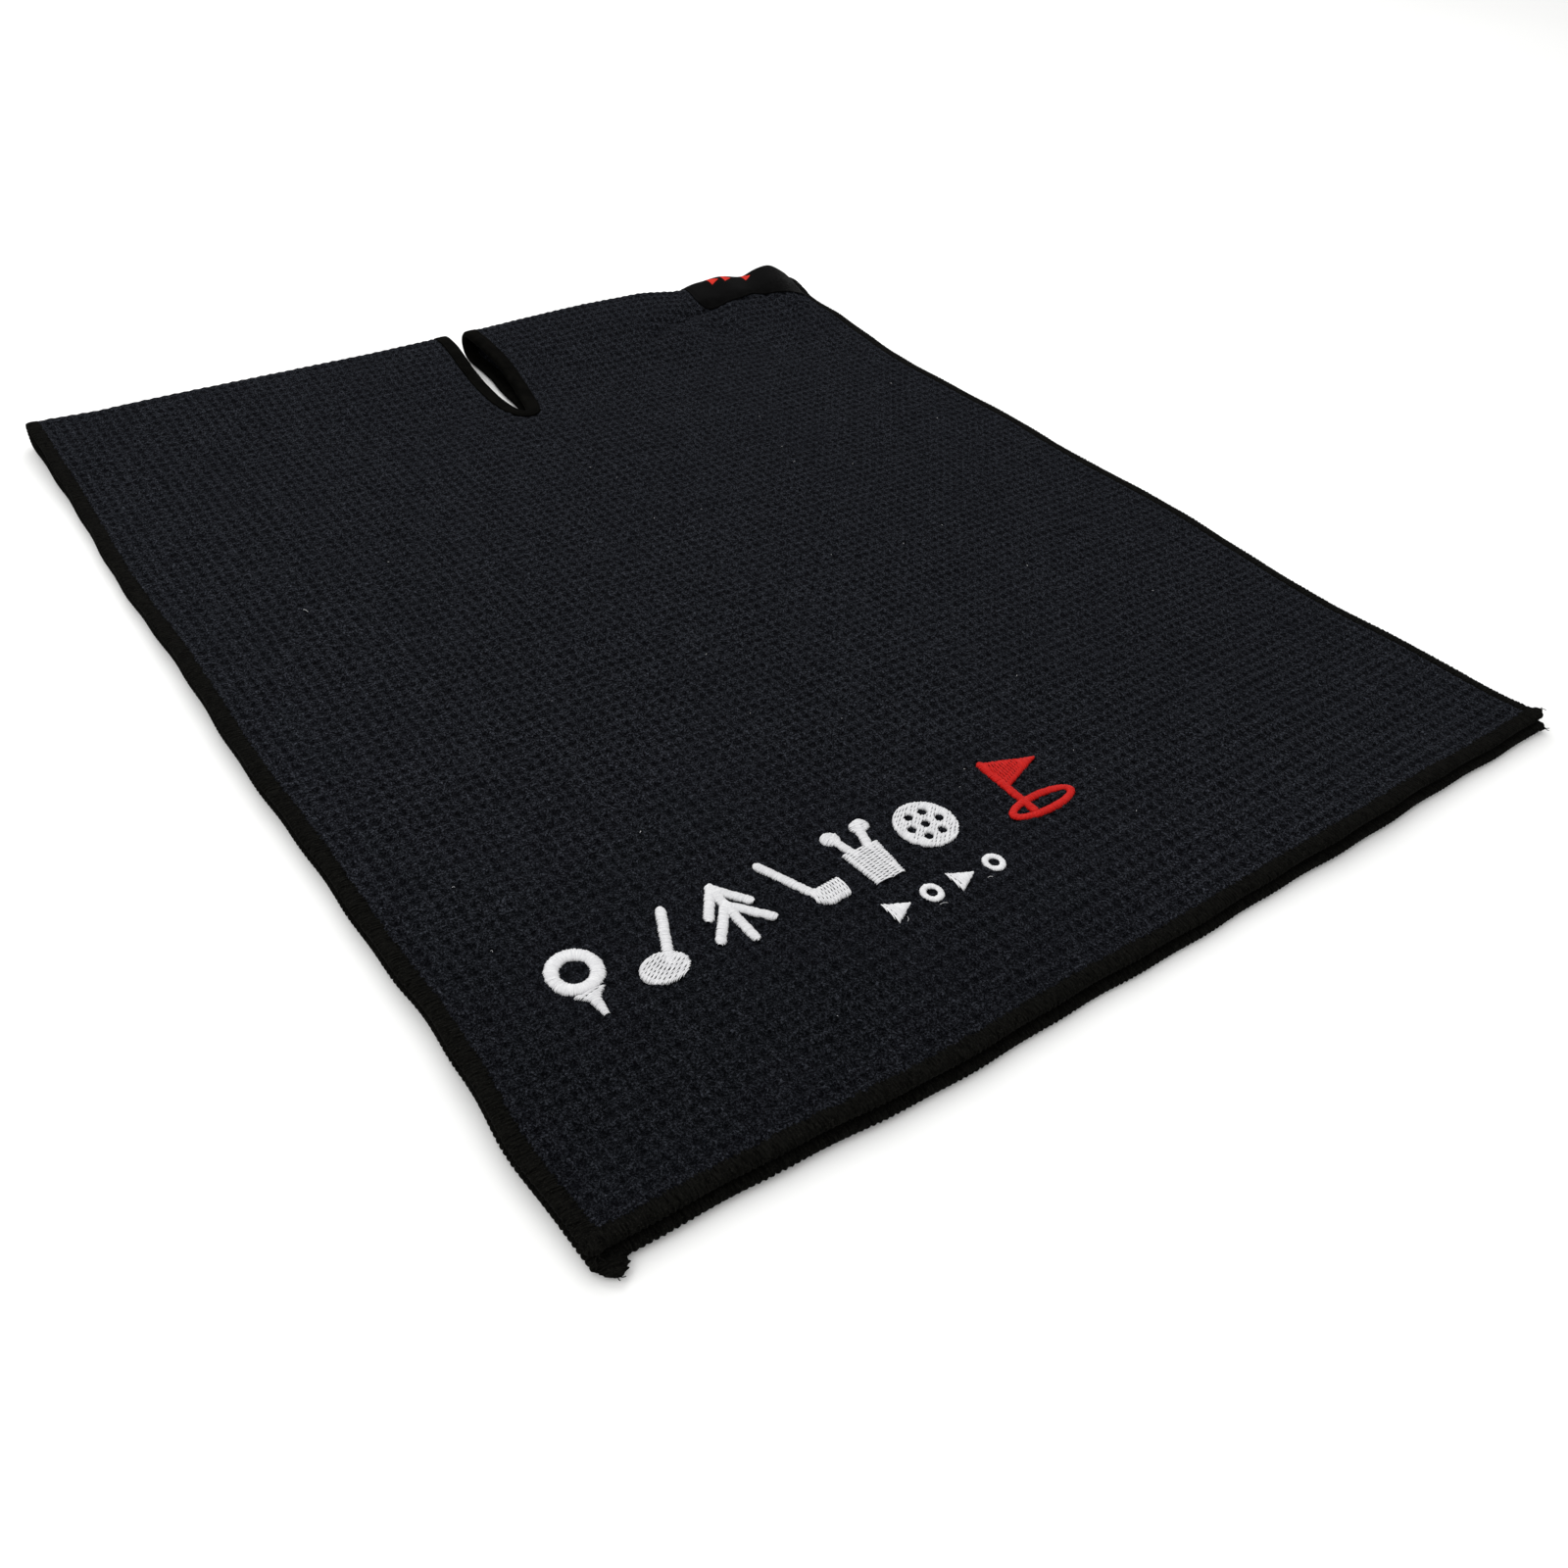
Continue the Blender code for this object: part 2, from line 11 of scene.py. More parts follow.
import bpy
import numpy as np
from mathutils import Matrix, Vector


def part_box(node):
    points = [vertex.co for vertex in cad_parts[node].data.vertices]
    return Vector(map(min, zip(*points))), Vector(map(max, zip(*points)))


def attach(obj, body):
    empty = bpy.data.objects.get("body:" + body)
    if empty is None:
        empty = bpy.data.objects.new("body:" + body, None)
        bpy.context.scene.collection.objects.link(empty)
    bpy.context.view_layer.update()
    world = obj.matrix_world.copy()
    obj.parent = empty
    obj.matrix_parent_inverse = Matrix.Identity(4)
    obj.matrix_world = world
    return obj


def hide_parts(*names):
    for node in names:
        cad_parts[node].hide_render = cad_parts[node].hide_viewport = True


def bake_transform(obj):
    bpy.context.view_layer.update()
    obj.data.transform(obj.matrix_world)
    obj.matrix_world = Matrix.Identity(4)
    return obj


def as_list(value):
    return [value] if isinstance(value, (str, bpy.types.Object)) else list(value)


MM = 0.001


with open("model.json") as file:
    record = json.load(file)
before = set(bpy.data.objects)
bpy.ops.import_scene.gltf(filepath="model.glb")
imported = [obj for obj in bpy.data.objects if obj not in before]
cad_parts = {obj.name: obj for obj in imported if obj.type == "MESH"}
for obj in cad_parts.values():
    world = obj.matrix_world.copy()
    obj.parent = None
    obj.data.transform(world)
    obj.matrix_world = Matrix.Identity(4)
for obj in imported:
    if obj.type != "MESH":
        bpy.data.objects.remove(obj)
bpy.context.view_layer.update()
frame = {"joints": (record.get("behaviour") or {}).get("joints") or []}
random = np.random.default_rng(20)

# ---- sizes, from the frame where it has them

HINGE = frame["joints"][0]["pos_m"]
FOLD_Y = HINGE[1]
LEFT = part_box("lower_edging_left")[0].x
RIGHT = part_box("lower_edging_right")[1].x
HEM_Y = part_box("lower_hem_edging")[0].y
UPPER_HEM_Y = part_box("upper_hem_edging")[0].y
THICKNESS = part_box("lower_hem_edging")[1].z
UPPER_MIDDLE = sum(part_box("upper_hem_edging")[k].z for k in (0, 1)) / 2
HALF = THICKNESS / 2
LABEL_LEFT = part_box("label_upper")[0].x
LABEL_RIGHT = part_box("label_upper")[1].x

EDGE_WIDTH = 5.8 * MM
BINDING_WIDTH = 6.5 * MM
RAMP_LENGTH = 72 * MM  # stretch over which the upper leaf rises to the ridge
RIDGE_Y = FOLD_Y + 2.0 * MM
ROLL_BULGE = 5.4 * MM  # how far the middle of the roll stands out past the fold line
ROLL_LENGTH = 18 * MM
SWELL_HEIGHT = 0.55 * MM  # of the slow waves in the upper leaf
INNER_TOP = 2 * HINGE[2] - 0.5 * MM  # the inside of the fold stays lower, and so off the floor when open
INNER_DRAWN_DOWN = 0.95  # share of what stands above that height and is taken away

S_FOLD = FOLD_Y - HEM_Y
S_RIDGE = S_FOLD + ROLL_LENGTH
S_END = S_RIDGE + RIDGE_Y - UPPER_HEM_Y

# Height of the ridge along the fold: (from the left edge, height), in millimetres.
RIDGE = (
    *((0, 9.9), (30, 10.0), (63, 10.9), (100, 11.5), (150, 12.5), (178, 13.5), (206, 14.5)),
    *((232, 16.0), (262, 17.4), (300, 17.7), (317, 15.8), (328, 13.8), (348, 17.0)),
    *((368, 14.8), (384, 19.0), (390, 14.8), (396, 10.8), (400, 9.9)),
)

SLIT_X = -8 * MM
SLIT_LENGTH = 70 * MM
SLIT_HALF = 6.0 * MM
SLIT_HALF_AT_FOLD = 4.2 * MM
SLIT_WIDEST = 42 * MM  # from the closed end
S_SLIT_START = S_FOLD - SLIT_LENGTH
S_SLIT_STOP = S_RIDGE + SLIT_LENGTH + RIDGE_Y - FOLD_Y

CELL_X = 4.2 * MM
CELL_S = 4.49 * MM
RELIEF = 0.45 * MM
INSET = 1.2 * MM  # the cloth's own edge lies inside the edging
SHAKE = 0.16 * MM  # how far a point of the weave strays from its place
UNEVEN = 0.22  # how much the depth of the weave varies


# ---- where the cloth lies


def ease(t):
    """0 below 0, 1 above 1 and smooth between."""
    t = np.clip(t, 0.0, 1.0)
    return t * t * (3 - 2 * t)


def hill(t):
    """A smooth rise and fall over -1 to 1."""
    return np.where(np.abs(t) < 1, 0.5 + 0.5 * np.cos(np.pi * np.clip(t, -1, 1)), 0.0)


def hills(along, rows):
    """Several hills added up. A row holds a hill's middle, half length and height."""
    return sum(height * hill((along - centre) / reach) for centre, reach, height in rows)


def ridge_height(x):
    """The height of the ridge at x, with the corners of RIDGE rounded off."""
    places = np.array([LEFT + a * MM for a, _ in RIDGE])
    heights = np.array([b * MM for _, b in RIDGE])
    steps = np.linspace(-5 * MM, 5 * MM, 9)
    weights = np.exp(-((steps / (3 * MM)) ** 2))
    rows = [w * np.interp(x + step, places, heights) for step, w in zip(steps, weights)]
    return sum(rows) / weights.sum()


# Waves over the cloth: radians in half a metre of x and of y, and the radians where both are 0.
WAVES = ((11, 4, 0.3), (6, -13, 1.7), (-17, 9, 2.9), (23, 14, 4.1), (4, 27, 0.9), (31, -8, 5.2))


def swell(x, y):
    """Slow waves of a cloth that was unfolded by hand, from -1 to 1."""
    return sum(np.sin(a * x * 2 + b * y * 2 + c) for a, b, c in WAVES) / 3.2


def from_corner(x, y):
    """How far a place is from the left edge and from the lower hem, in millimetres."""
    return (x - LEFT) / MM, (y - HEM_Y) / MM


# How the outline differs from a rectangle, in millimetres. The hills lie along the sides, from the lower hem.
LEFT_BOW = 2.2  # outwards
LEFT_HILLS = ((36, 32, -1.6), (86, 22, 0.5))
RIGHT_BOW = 7.0  # inwards
RIGHT_HILLS = ((95, 45, 3.4), (178, 48, -2.9), (342, 75, 5.0), (430, 26, 3.2))
HEM_BULGE = 4.6  # how far the hem stands out between its corners
ENDS_DRAWN_IN = 2.6  # how far the ends of the fold lie in front of its middle


def slide(x, y):
    """How far the outline wanders in plan: (dx, dy)."""
    from_left, from_hem = from_corner(x, y)
    bow = -LEFT_BOW * np.sin(np.pi * np.clip((from_hem - 95) / 345, 0, 1)) ** 0.8
    bow = bow + hills(from_hem, LEFT_HILLS)
    bow = bow + 0.5 * np.sin(from_hem / 19.0) * ease((from_hem - 100) / 60)
    drawn_in = RIGHT_BOW * (1 - np.exp(-np.maximum(from_hem, 0) / 25))
    drawn_in = drawn_in * (1 - 0.2 * ease((from_hem - 440) / 14))
    drawn_in = drawn_in + hills(from_hem, RIGHT_HILLS) + 0.25 * np.sin(from_hem / 9.0)
    dx = bow * (1 - ease(from_left / 70)) - drawn_in * ease((from_left - 210) / 190)
    hem = ease((from_left - 12) / 95) * (1 - 0.34 * ease((from_left - 250) / 150))
    hem = hem + 0.06 * np.sin(from_left / 14.0)
    ends = (1 - ease(from_left / 42)) + 0.7 * ease((from_left - 376) / 24)
    dy = -HEM_BULGE * hem * (1 - ease(from_hem / 62))
    dy = dy - ENDS_DRAWN_IN * ends * ease((from_hem - 380) / 66)
    return dx * MM, dy * MM


# How far the stack stands off the floor, in millimetres: everywhere, along three edges and under the label.
CLEARANCE = 0.2  # for the binding and the edging, which are thicker than the cloth
LEFT_LIFT = 1.5
RIGHT_LIFT = 0.9
FRONT_LIFT = 0.7
LABEL_LIFT = 0.95


def lift(x, y):
    """How far the whole stack stands off the floor, which it does a little at its edges."""
    from_left, from_hem = from_corner(x, y)
    side = LEFT_LIFT * (0.5 + 0.5 * np.sin(from_hem / 34.0 + 0.6))
    side = side * (1 - ease(from_left / 34)) * ease((from_hem - 14) / 50)
    right = RIGHT_LIFT * (0.5 + 0.5 * np.sin(from_hem / 47.0)) * ease((from_left - 366) / 34)
    front = FRONT_LIFT * (0.5 + 0.5 * np.sin(from_left / 39.0)) * (1 - ease(from_hem / 30))
    under_label = LABEL_LIFT * ease((x - LABEL_LEFT + 9 * MM) / (8 * MM)) * ease((from_hem - 432) / 8)
    return (CLEARANCE + side + right + front + under_label) * MM


# Creases in front of the ridge, in millimetres.
VALLEY_DEPTH = 3.8
VALLEY_MIDDLE = 306  # from the left edge
DENT_DEPTH = 2.8
DENT = (328, 40)  # its middle: from the left edge, and from the ridge
RIPPLE_DEPTH = 0.38


def creases(x, back):
    """Height that small creases add to the upper leaf at a distance back from the ridge."""
    from_left = (x - LEFT) / MM
    back = back / MM
    line = 22 + 22 * np.clip((324 - from_left) / 56, 0, 2) ** 1.3
    valley = -VALLEY_DEPTH * hill((back - line) / 7) * hill((from_left - VALLEY_MIDDLE) / 44)
    dent = -DENT_DEPTH * hill(np.hypot(from_left - DENT[0], back - DENT[1]) / 17)
    ripple = RIPPLE_DEPTH * np.sin(from_left / 3.1 + back / 9) * np.sin(from_left / 17 + 1)
    return (valley + dent + ripple * hill((back - 22) / 22)) * MM


def middle(x, s):
    """The point on the middle of the cloth at x, s."""
    x, s = np.broadcast_arrays(np.asarray(x, float), np.asarray(s, float))
    height = ridge_height(x)
    angle = np.clip((s - S_FOLD) / ROLL_LENGTH, 0, 1) * np.pi - np.pi / 2
    turn_y = FOLD_Y + (RIDGE_Y - FOLD_Y) * (1 + np.sin(angle)) / 2 + ROLL_BULGE * np.cos(angle)
    turn_z = height / 2 + (height / 2 - HALF) * np.sin(angle)
    back = np.maximum(s - S_RIDGE, 0.0)
    ramp = 0.5 + 0.5 * np.cos(np.pi * np.clip(back / RAMP_LENGTH, 0, 1))
    top_z = UPPER_MIDDLE + (height - HALF - UPPER_MIDDLE) * ramp
    y = np.where(s < S_FOLD, HEM_Y + s, np.where(s < S_RIDGE, turn_y, RIDGE_Y - back))
    z = np.where(s < S_FOLD, HALF, np.where(s < S_RIDGE, turn_z, top_z))
    loose = ease((back - 6 * MM) / (40 * MM))
    z = z + SWELL_HEIGHT * swell(x, y) * loose + lift(x, y) + creases(x, back)
    dx, dy = slide(x, y)
    return np.stack([x + dx, y + dy, z], -1)


def place(x, s, n):
    """The point at height n over the middle of the cloth."""
    x, s, n = np.broadcast_arrays(np.asarray(x, float), np.asarray(s, float), np.asarray(n, float))
    step = 0.25 * MM
    across = middle(x + step, s) - middle(x - step, s)
    along = middle(x, s + step) - middle(x, s - step)
    normal = np.cross(along, across)
    normal /= np.linalg.norm(normal, axis=-1, keepdims=True)
    return middle(x, s) + normal * n[..., None]


def into_slit(s):
    """How far s is inside the nearer closed end of the slit, and below 0 outside the slit."""
    return np.minimum(s - S_SLIT_START, S_SLIT_STOP - s)


def slit_below(s):
    """1 along the slit of the lower leaf, where it gapes less, and 0 elsewhere."""
    return ease((S_FOLD - s) / (40 * MM)) * ease((s - S_SLIT_START) / (34 * MM))


def slit_centre(s):
    """The slit's middle leans a little to the left towards its closed end."""
    return SLIT_X + (-1.8 + 3.2 * ease(into_slit(s) / SLIT_LENGTH) - 1.3 * slit_below(s)) * MM


def slit_half(s):
    """Half of the slit's opening at s."""
    share = np.clip(into_slit(s) / SLIT_WIDEST, 0, 1)
    opening = SLIT_HALF * (1 - (1 - share) ** 2) ** 0.62
    narrowing = ease((into_slit(s) - SLIT_WIDEST) / (SLIT_LENGTH - SLIT_WIDEST))
    return opening - (SLIT_HALF - SLIT_HALF_AT_FOLD) * narrowing - 1.2 * MM * slit_below(s)


def parted(x, s):
    """Where a point of the flat cloth lies once the slit has opened."""
    away = np.abs(x - SLIT_X)
    inward = into_slit(s)
    push = np.where(inward > 0, slit_half(s) + 0.8 * MM * ease(inward / (4 * MM)), 0.0)
    shift = (slit_centre(s) - SLIT_X) * np.exp(-((away / (30 * MM)) ** 2))
    return x + np.sign(x - SLIT_X) * push * np.exp(-away / (26 * MM)) + shift


# ---- mesh helpers


def new_piece(name, points, faces, fabric=None):
    """A smooth mesh object. fabric is a vector at each point that its material reads."""
    mesh = bpy.data.meshes.new(name)
    mesh.from_pydata(np.asarray(points).reshape(-1, 3).tolist(), [], faces)
    mesh.update()
    mesh.shade_smooth()
    if fabric is not None:
        layer = mesh.attributes.new("fabric", "FLOAT_VECTOR", "POINT")
        layer.data.foreach_set("vector", np.asarray(fabric, np.float32).ravel())
    piece = bpy.data.objects.new(name, mesh)
    bpy.context.scene.collection.objects.link(piece)
    return piece


def grid_faces(rows, width):
    """The faces between the points of a grid, row by row."""
    steps = (0, width, width + 1, 1)
    firsts = [r * width + c for r in range(rows - 1) for c in range(width - 1)]
    return [tuple(first + step for step in steps) for first in firsts]


def boundary(faces):
    """The directed edges that only one face has."""
    edges = set()
    for face in faces:
        for a, b in zip(face, face[1:] + face[:1]):
            edges.add((a, b))
    return [(a, b) for a, b in edges if (b, a) not in edges]


def closed_sheet(name, outer, inner, faces, fabric, normals=None):
    """A thin closed piece: outer skin, inner skin and the rim between them."""
    count = len(outer)
    back = [tuple(index + count for index in reversed(face)) for face in faces]
    rim = [(b, a, a + count, b + count) for a, b in sorted(boundary(faces))]
    piece = new_piece(name, np.concatenate([outer, inner]), faces + back + rim, fabric)
    if normals is not None:
        piece.data.normals_split_custom_set_from_vertices(normals.tolist())
    return piece


def thin_sheet(name, x, s, face, thickness, along=None):
    """A closed sheet over the grid x, s whose outer face is at height face over the cloth's middle."""
    outer = place(x, s, face).reshape(-1, 3)
    inner = place(x, s, face - thickness).reshape(-1, 3)
    fabric = np.stack([x / MM, (s if along is None else along) / MM, 0 * x], -1).reshape(-1, 3)
    return closed_sheet(name, outer, inner, grid_faces(*x.shape), np.concatenate([fabric, fabric]))


def swept(name, sections, fabric):
    """A skin over a row of closed sections, with flat ends."""
    rows, size, _ = sections.shape
    faces = []
    for a in range(0, (rows - 1) * size, size):
        for k in range(size):
            j = (k + 1) % size
            faces.append((a + k, a + size + k, a + size + j, a + j))
    faces.append(tuple(range(size)))
    faces.append(tuple(reversed(range((rows - 1) * size, rows * size))))
    return new_piece(name, sections, faces, fabric.reshape(-1, 3))


def finish_piece(piece, material, slot, body=None, turns=False, stands_for=()):
    """Gives a piece its material, the body that it moves with and the CAD nodes it stands for. slot is not
    used.
    """
    piece.data.materials.append(material)
    if turns:
        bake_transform(piece)
    else:
        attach(piece, body)
    if stands_for:
        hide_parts(*stands_for)
    return piece


# ---- materials


class Nodes:
    """A short way to build a material's nodes."""

    def __init__(self, name):
        self.material = bpy.data.materials.new(name)
        self.material.use_nodes = True
        self.tree = self.material.node_tree
        self.shader = self.tree.nodes["Principled BSDF"]

    def add(self, kind, inputs=(), **settings):
        """A node with some of its settings, and its inputs by name or number."""
        node = self.tree.nodes.new(kind)
        for key, value in settings.items():
            setattr(node, key, value)
        for key, value in dict(inputs).items():
            self.feed(node.inputs[key], value)
        return node

    def feed(self, socket, value):
        """Links a socket, or sets its value. A colour is red, green and blue."""
        if isinstance(value, bpy.types.NodeSocket):
            self.tree.links.new(value, socket)
        elif socket.type == "RGBA":
            socket.default_value = (*value, 1.0)
        else:
            socket.default_value = value

    def maths(self, operation, a, b=0.0):
        return self.add("ShaderNodeMath", {0: a, 1: b}, operation=operation).outputs[0]

    def times(self, a, b):
        return self.maths("MULTIPLY", a, b)

    def plus(self, a, b):
        return self.maths("ADD", a, b)

    def vector(self, operation, a, b=(0.0, 0.0, 0.0)):
        node = self.add("ShaderNodeVectorMath", {0: a, 1: b}, operation=operation)
        return node.outputs["Value" if operation == "LENGTH" else "Vector"]

    def between(self, value, low, high, to_low=0.0, to_high=1.0):
        """Value from low..high to to_low..to_high, smoothly and held at the ends."""
        inputs = {"Value": value, "From Min": low, "From Max": high, "To Min": to_low, "To Max": to_high}
        node = self.add("ShaderNodeMapRange", inputs, interpolation_type="SMOOTHSTEP")
        return node.outputs["Result"]

    def mix(self, share, a, b):
        return self.add("ShaderNodeMix", {0: share, 6: a, 7: b}, data_type="RGBA").outputs[2]

    def noise(self, vector, scale, detail=2.0, distortion=0.0):
        inputs = {"Vector": vector, "Scale": scale, "Detail": detail, "Distortion": distortion}
        return self.add("ShaderNodeTexNoise", inputs).outputs["Fac"]

    def curls(self, vector, scale, width):
        """Thin curly lines, from where a noise passes its middle value."""
        wave = self.noise(vector, scale, detail=1.0, distortion=0.9)
        off = self.maths("ABSOLUTE", self.maths("SUBTRACT", wave, 0.5))
        return self.between(off, 0.0, width, 1.0, 0.0)

    def fabric(self):
        return self.add("ShaderNodeAttribute", attribute_name="fabric").outputs["Vector"]

    def stretched(self, vector, scale):
        return self.vector("MULTIPLY", vector, scale)

    def bump(self, height, strength, distance):
        inputs = {"Height": height, "Strength": strength, "Distance": distance}
        return self.add("ShaderNodeBump", inputs).outputs["Normal"]

    def surface(self, colour, roughness, shine, **inputs):
        """Sets the shader's own sockets."""
        inputs = {"Base Color": colour, "Roughness": roughness, "Specular IOR Level": shine, **inputs}
        for key, value in inputs.items():
            self.feed(self.shader.inputs[key.replace("_", " ")], value)
        return self.material


# Towards the upper hem's left corner the pile is brushed over the pits. The change lies between these, in
# cells from the lower hem and in cells from the slit.
BRUSHED_ALONG = (164.0, 200.0)
BRUSHED_ACROSS = (-24.0, 22.0)

FIBRE = (0.059, 0.064, 0.078)
BETWEEN_FIBRES = (0.0003, 0.0004, 0.0006)
UNDER_TUFTS = (0.0032, 0.0036, 0.0052)
BRUSHED = (0.0004, 0.0005, 0.0008)
# Painted shade: this dark colour in the pits stands in for the shade that falls in them.
PIT_PAINTED_SHADE = (0.0002, 0.0002, 0.0004)
FADED = (0.0070, 0.0078, 0.0105)
CLOTH_SHEEN = (0.72, 0.78, 0.92)


def pits(nodes, cells):
    """1 in the middle of each waffle cell and 0 on the ribs, each cell a little different. It shapes the
    pits' bump and sets where painted shade darkens them.
    """
    flat = nodes.stretched(cells, (1.0, 1.0, 0.0))
    whole = nodes.vector("FLOOR", flat)
    chance = nodes.add("ShaderNodeTexWhiteNoise", {"Vector": whole}, noise_dimensions="3D")
    centred = nodes.vector("SUBTRACT", nodes.vector("FRACTION", flat), (0.5, 0.5, 0.0))
    reach = nodes.vector("LENGTH", centred)
    reach = nodes.plus(reach, nodes.times(nodes.noise(cells, 2.4), 0.26))
    reach = nodes.plus(reach, nodes.times(chance.outputs["Value"], 0.14))
    return nodes.between(reach, 0.30, 0.68, 1.0, 0.0)


def cloth_material():
    """Waffle microfibre: short curly fibres over dark gaps, with pits darkened by painted shade and a faint
    sheen.
    """
    nodes = Nodes("waffle_microfibre")
    cells = nodes.fabric()
    pit = pits(nodes, cells)
    long_curls = nodes.curls(cells, 4.8, 0.09)
    short_curls = nodes.curls(nodes.stretched(cells, (1.3, 1.0, 1.0)), 8.2, 0.10)
    tufts = nodes.noise(cells, 6.2, detail=1.0, distortion=0.6)
    across, along, _ = nodes.add("ShaderNodeSeparateXYZ", {0: cells}).outputs
    brushed = nodes.between(across, *BRUSHED_ACROSS, 1.0, 0.0)
    brushed = nodes.times(nodes.between(along, *BRUSHED_ALONG), brushed)
    fibres = nodes.maths("MAXIMUM", long_curls, nodes.times(short_curls, 0.8))
    fibres = nodes.times(fibres, nodes.between(tufts, 0.40, 0.62, 0.10, 1.0))
    ground = nodes.mix(nodes.between(tufts, 0.36, 0.64), BETWEEN_FIBRES, UNDER_TUFTS)
    rib = nodes.mix(fibres, ground, FIBRE)
    # The pits' bump and their painted shade are both weaker where the pile is brushed.
    pit = nodes.times(pit, nodes.between(brushed, 0.0, 1.0, 0.72, 0.58))
    rib = nodes.mix(nodes.between(brushed, 0.0, 1.0, 0.0, 0.30), rib, BRUSHED)
    # Painted shade: the pits are darkened in colour, standing in for the shade that falls in them.
    colour = nodes.mix(pit, rib, PIT_PAINTED_SHADE)
    broad = nodes.noise(cells, 0.11)
    colour = nodes.mix(nodes.between(broad, 0.35, 0.65, 0.0, 0.10), colour, FADED)
    height = nodes.plus(nodes.times(pit, -0.9), nodes.times(tufts, 0.9))
    height = nodes.plus(height, nodes.times(fibres, 0.5))
    normal = nodes.bump(height, 0.9, 0.0008)
    sheen = {"Sheen_Weight": 0.010, "Sheen_Roughness": 0.5, "Sheen_Tint": CLOTH_SHEEN}
    return nodes.surface(colour, 0.95, 0.008, Normal=normal, **sheen)


def thread_material(name, low, high, roughness, grain, shine=0.015, specks=0.0):
    """Sewing thread: fabric holds (along, across) in millimetres, and the twist runs across."""
    nodes = Nodes(name)
    fabric = nodes.fabric()
    ply = nodes.noise(nodes.stretched(fabric, grain), 1.0, detail=3.0, distortion=0.8)
    fluff = nodes.noise(fabric, 2.6, detail=3.0)
    colour = nodes.mix(nodes.between(ply, 0.3, 0.72), low, high)
    colour = nodes.mix(nodes.between(fluff, 0.35, 0.8, 0.0, 0.35), colour, low)
    speck = nodes.noise(nodes.stretched(fabric, (1.0, 1.0, 1.3)), 3.4, detail=1.0, distortion=0.8)
    lighter = [2.6 * value for value in high]
    colour = nodes.mix(nodes.between(speck, 0.60, 0.74, 0.0, specks), colour, lighter)
    height = nodes.plus(ply, nodes.times(fluff, 0.5))
    normal = nodes.bump(height, 0.6, 0.00025)
    return nodes.surface(colour, roughness, shine, Sheen_Weight=0.004, Sheen_Roughness=0.4, Normal=normal)


def satin_material(name, low, high, roughness, shine=0.006, worn_from=None):
    """Smooth woven satin: very fine ribs across, slow tone changes, and rubbed beyond worn_from."""
    nodes = Nodes(name)
    fabric = nodes.fabric()
    ribs = nodes.noise(nodes.stretched(fabric, (9.0, 1.2, 0.0)), 1.0)
    cloud = nodes.noise(fabric, 0.22, detail=3.0)
    colour = nodes.mix(nodes.between(cloud, 0.3, 0.7), low, high)
    if worn_from is not None:
        across = nodes.add("ShaderNodeSeparateXYZ", {0: fabric}).outputs[0]
        rubbed = nodes.between(nodes.noise(fabric, 1.1, detail=3.0), 0.40, 0.66)
        rubbed = nodes.times(rubbed, nodes.between(across, worn_from, worn_from + 14.0))
        colour = nodes.mix(rubbed, colour, [5.0 * value for value in high])
    gloss = nodes.between(cloud, 0.25, 0.75, roughness - 0.06, roughness + 0.08)
    height = nodes.plus(nodes.times(ribs, 0.4), nodes.times(cloud, 0.8))
    return nodes.surface(colour, gloss, shine, Sheen_Weight=0.001, Normal=nodes.bump(height, 0.35, 0.0003))


def floor_material():
    """White studio board with hardly any texture."""
    nodes = Nodes("studio_board")
    point = nodes.add("ShaderNodeTexCoord").outputs["Object"]
    colour = nodes.mix(nodes.noise(point, 3.0), (0.90, 0.90, 0.89), (0.93, 0.93, 0.92))
    return nodes.surface(colour, 0.75, 0.2)


# ---- cloth


def columns():
    """Flat x of the columns, two to a cell, with one column on the slit."""
    left = int(round((SLIT_X - LEFT - INSET) / CELL_X)) * 2
    right = int(round((RIGHT - INSET - SLIT_X) / CELL_X)) * 2
    first = np.linspace(LEFT + INSET, SLIT_X, left + 1)
    second = np.linspace(SLIT_X, RIGHT - INSET, right + 1)
    return np.concatenate([first, second[1:]]), left


def rows_between(start, stop, per_cell):
    """s of the rows over a stretch of whole cells, and the cell coordinate of each."""
    count = int(round((stop - start) / CELL_S)) * per_cell
    return np.linspace(start, stop, count + 1), np.arange(count + 1) / per_cell


def waffle(across, along):
    """1 where two ribs cross, less on a rib and -1 in a pit."""
    a = np.abs(np.cos(np.pi * across))
    b = np.abs(np.cos(np.pi * along))
    return -1 + 1.6 * np.maximum(a, b) + 0.4 * a * b


def pinch(x, s):
    """1 where the edging or the binding holds the cloth thinner, and 0 elsewhere."""
    edge = np.minimum(np.minimum(x - LEFT, RIGHT - x), np.minimum(s, S_END - s))
    held = 1 - ease((edge - EDGE_WIDTH + 2.3 * MM) / (2.6 * MM))
    inward = into_slit(s)
    gap = np.abs(x - slit_centre(s)) - np.where(inward > 0, slit_half(s), 0.0)
    away = np.hypot(gap, np.maximum(-inward, 0.0))
    bound = 1 - ease((away - BINDING_WIDTH + 1.5 * MM) / (2.6 * MM))
    return np.maximum(held, bound)


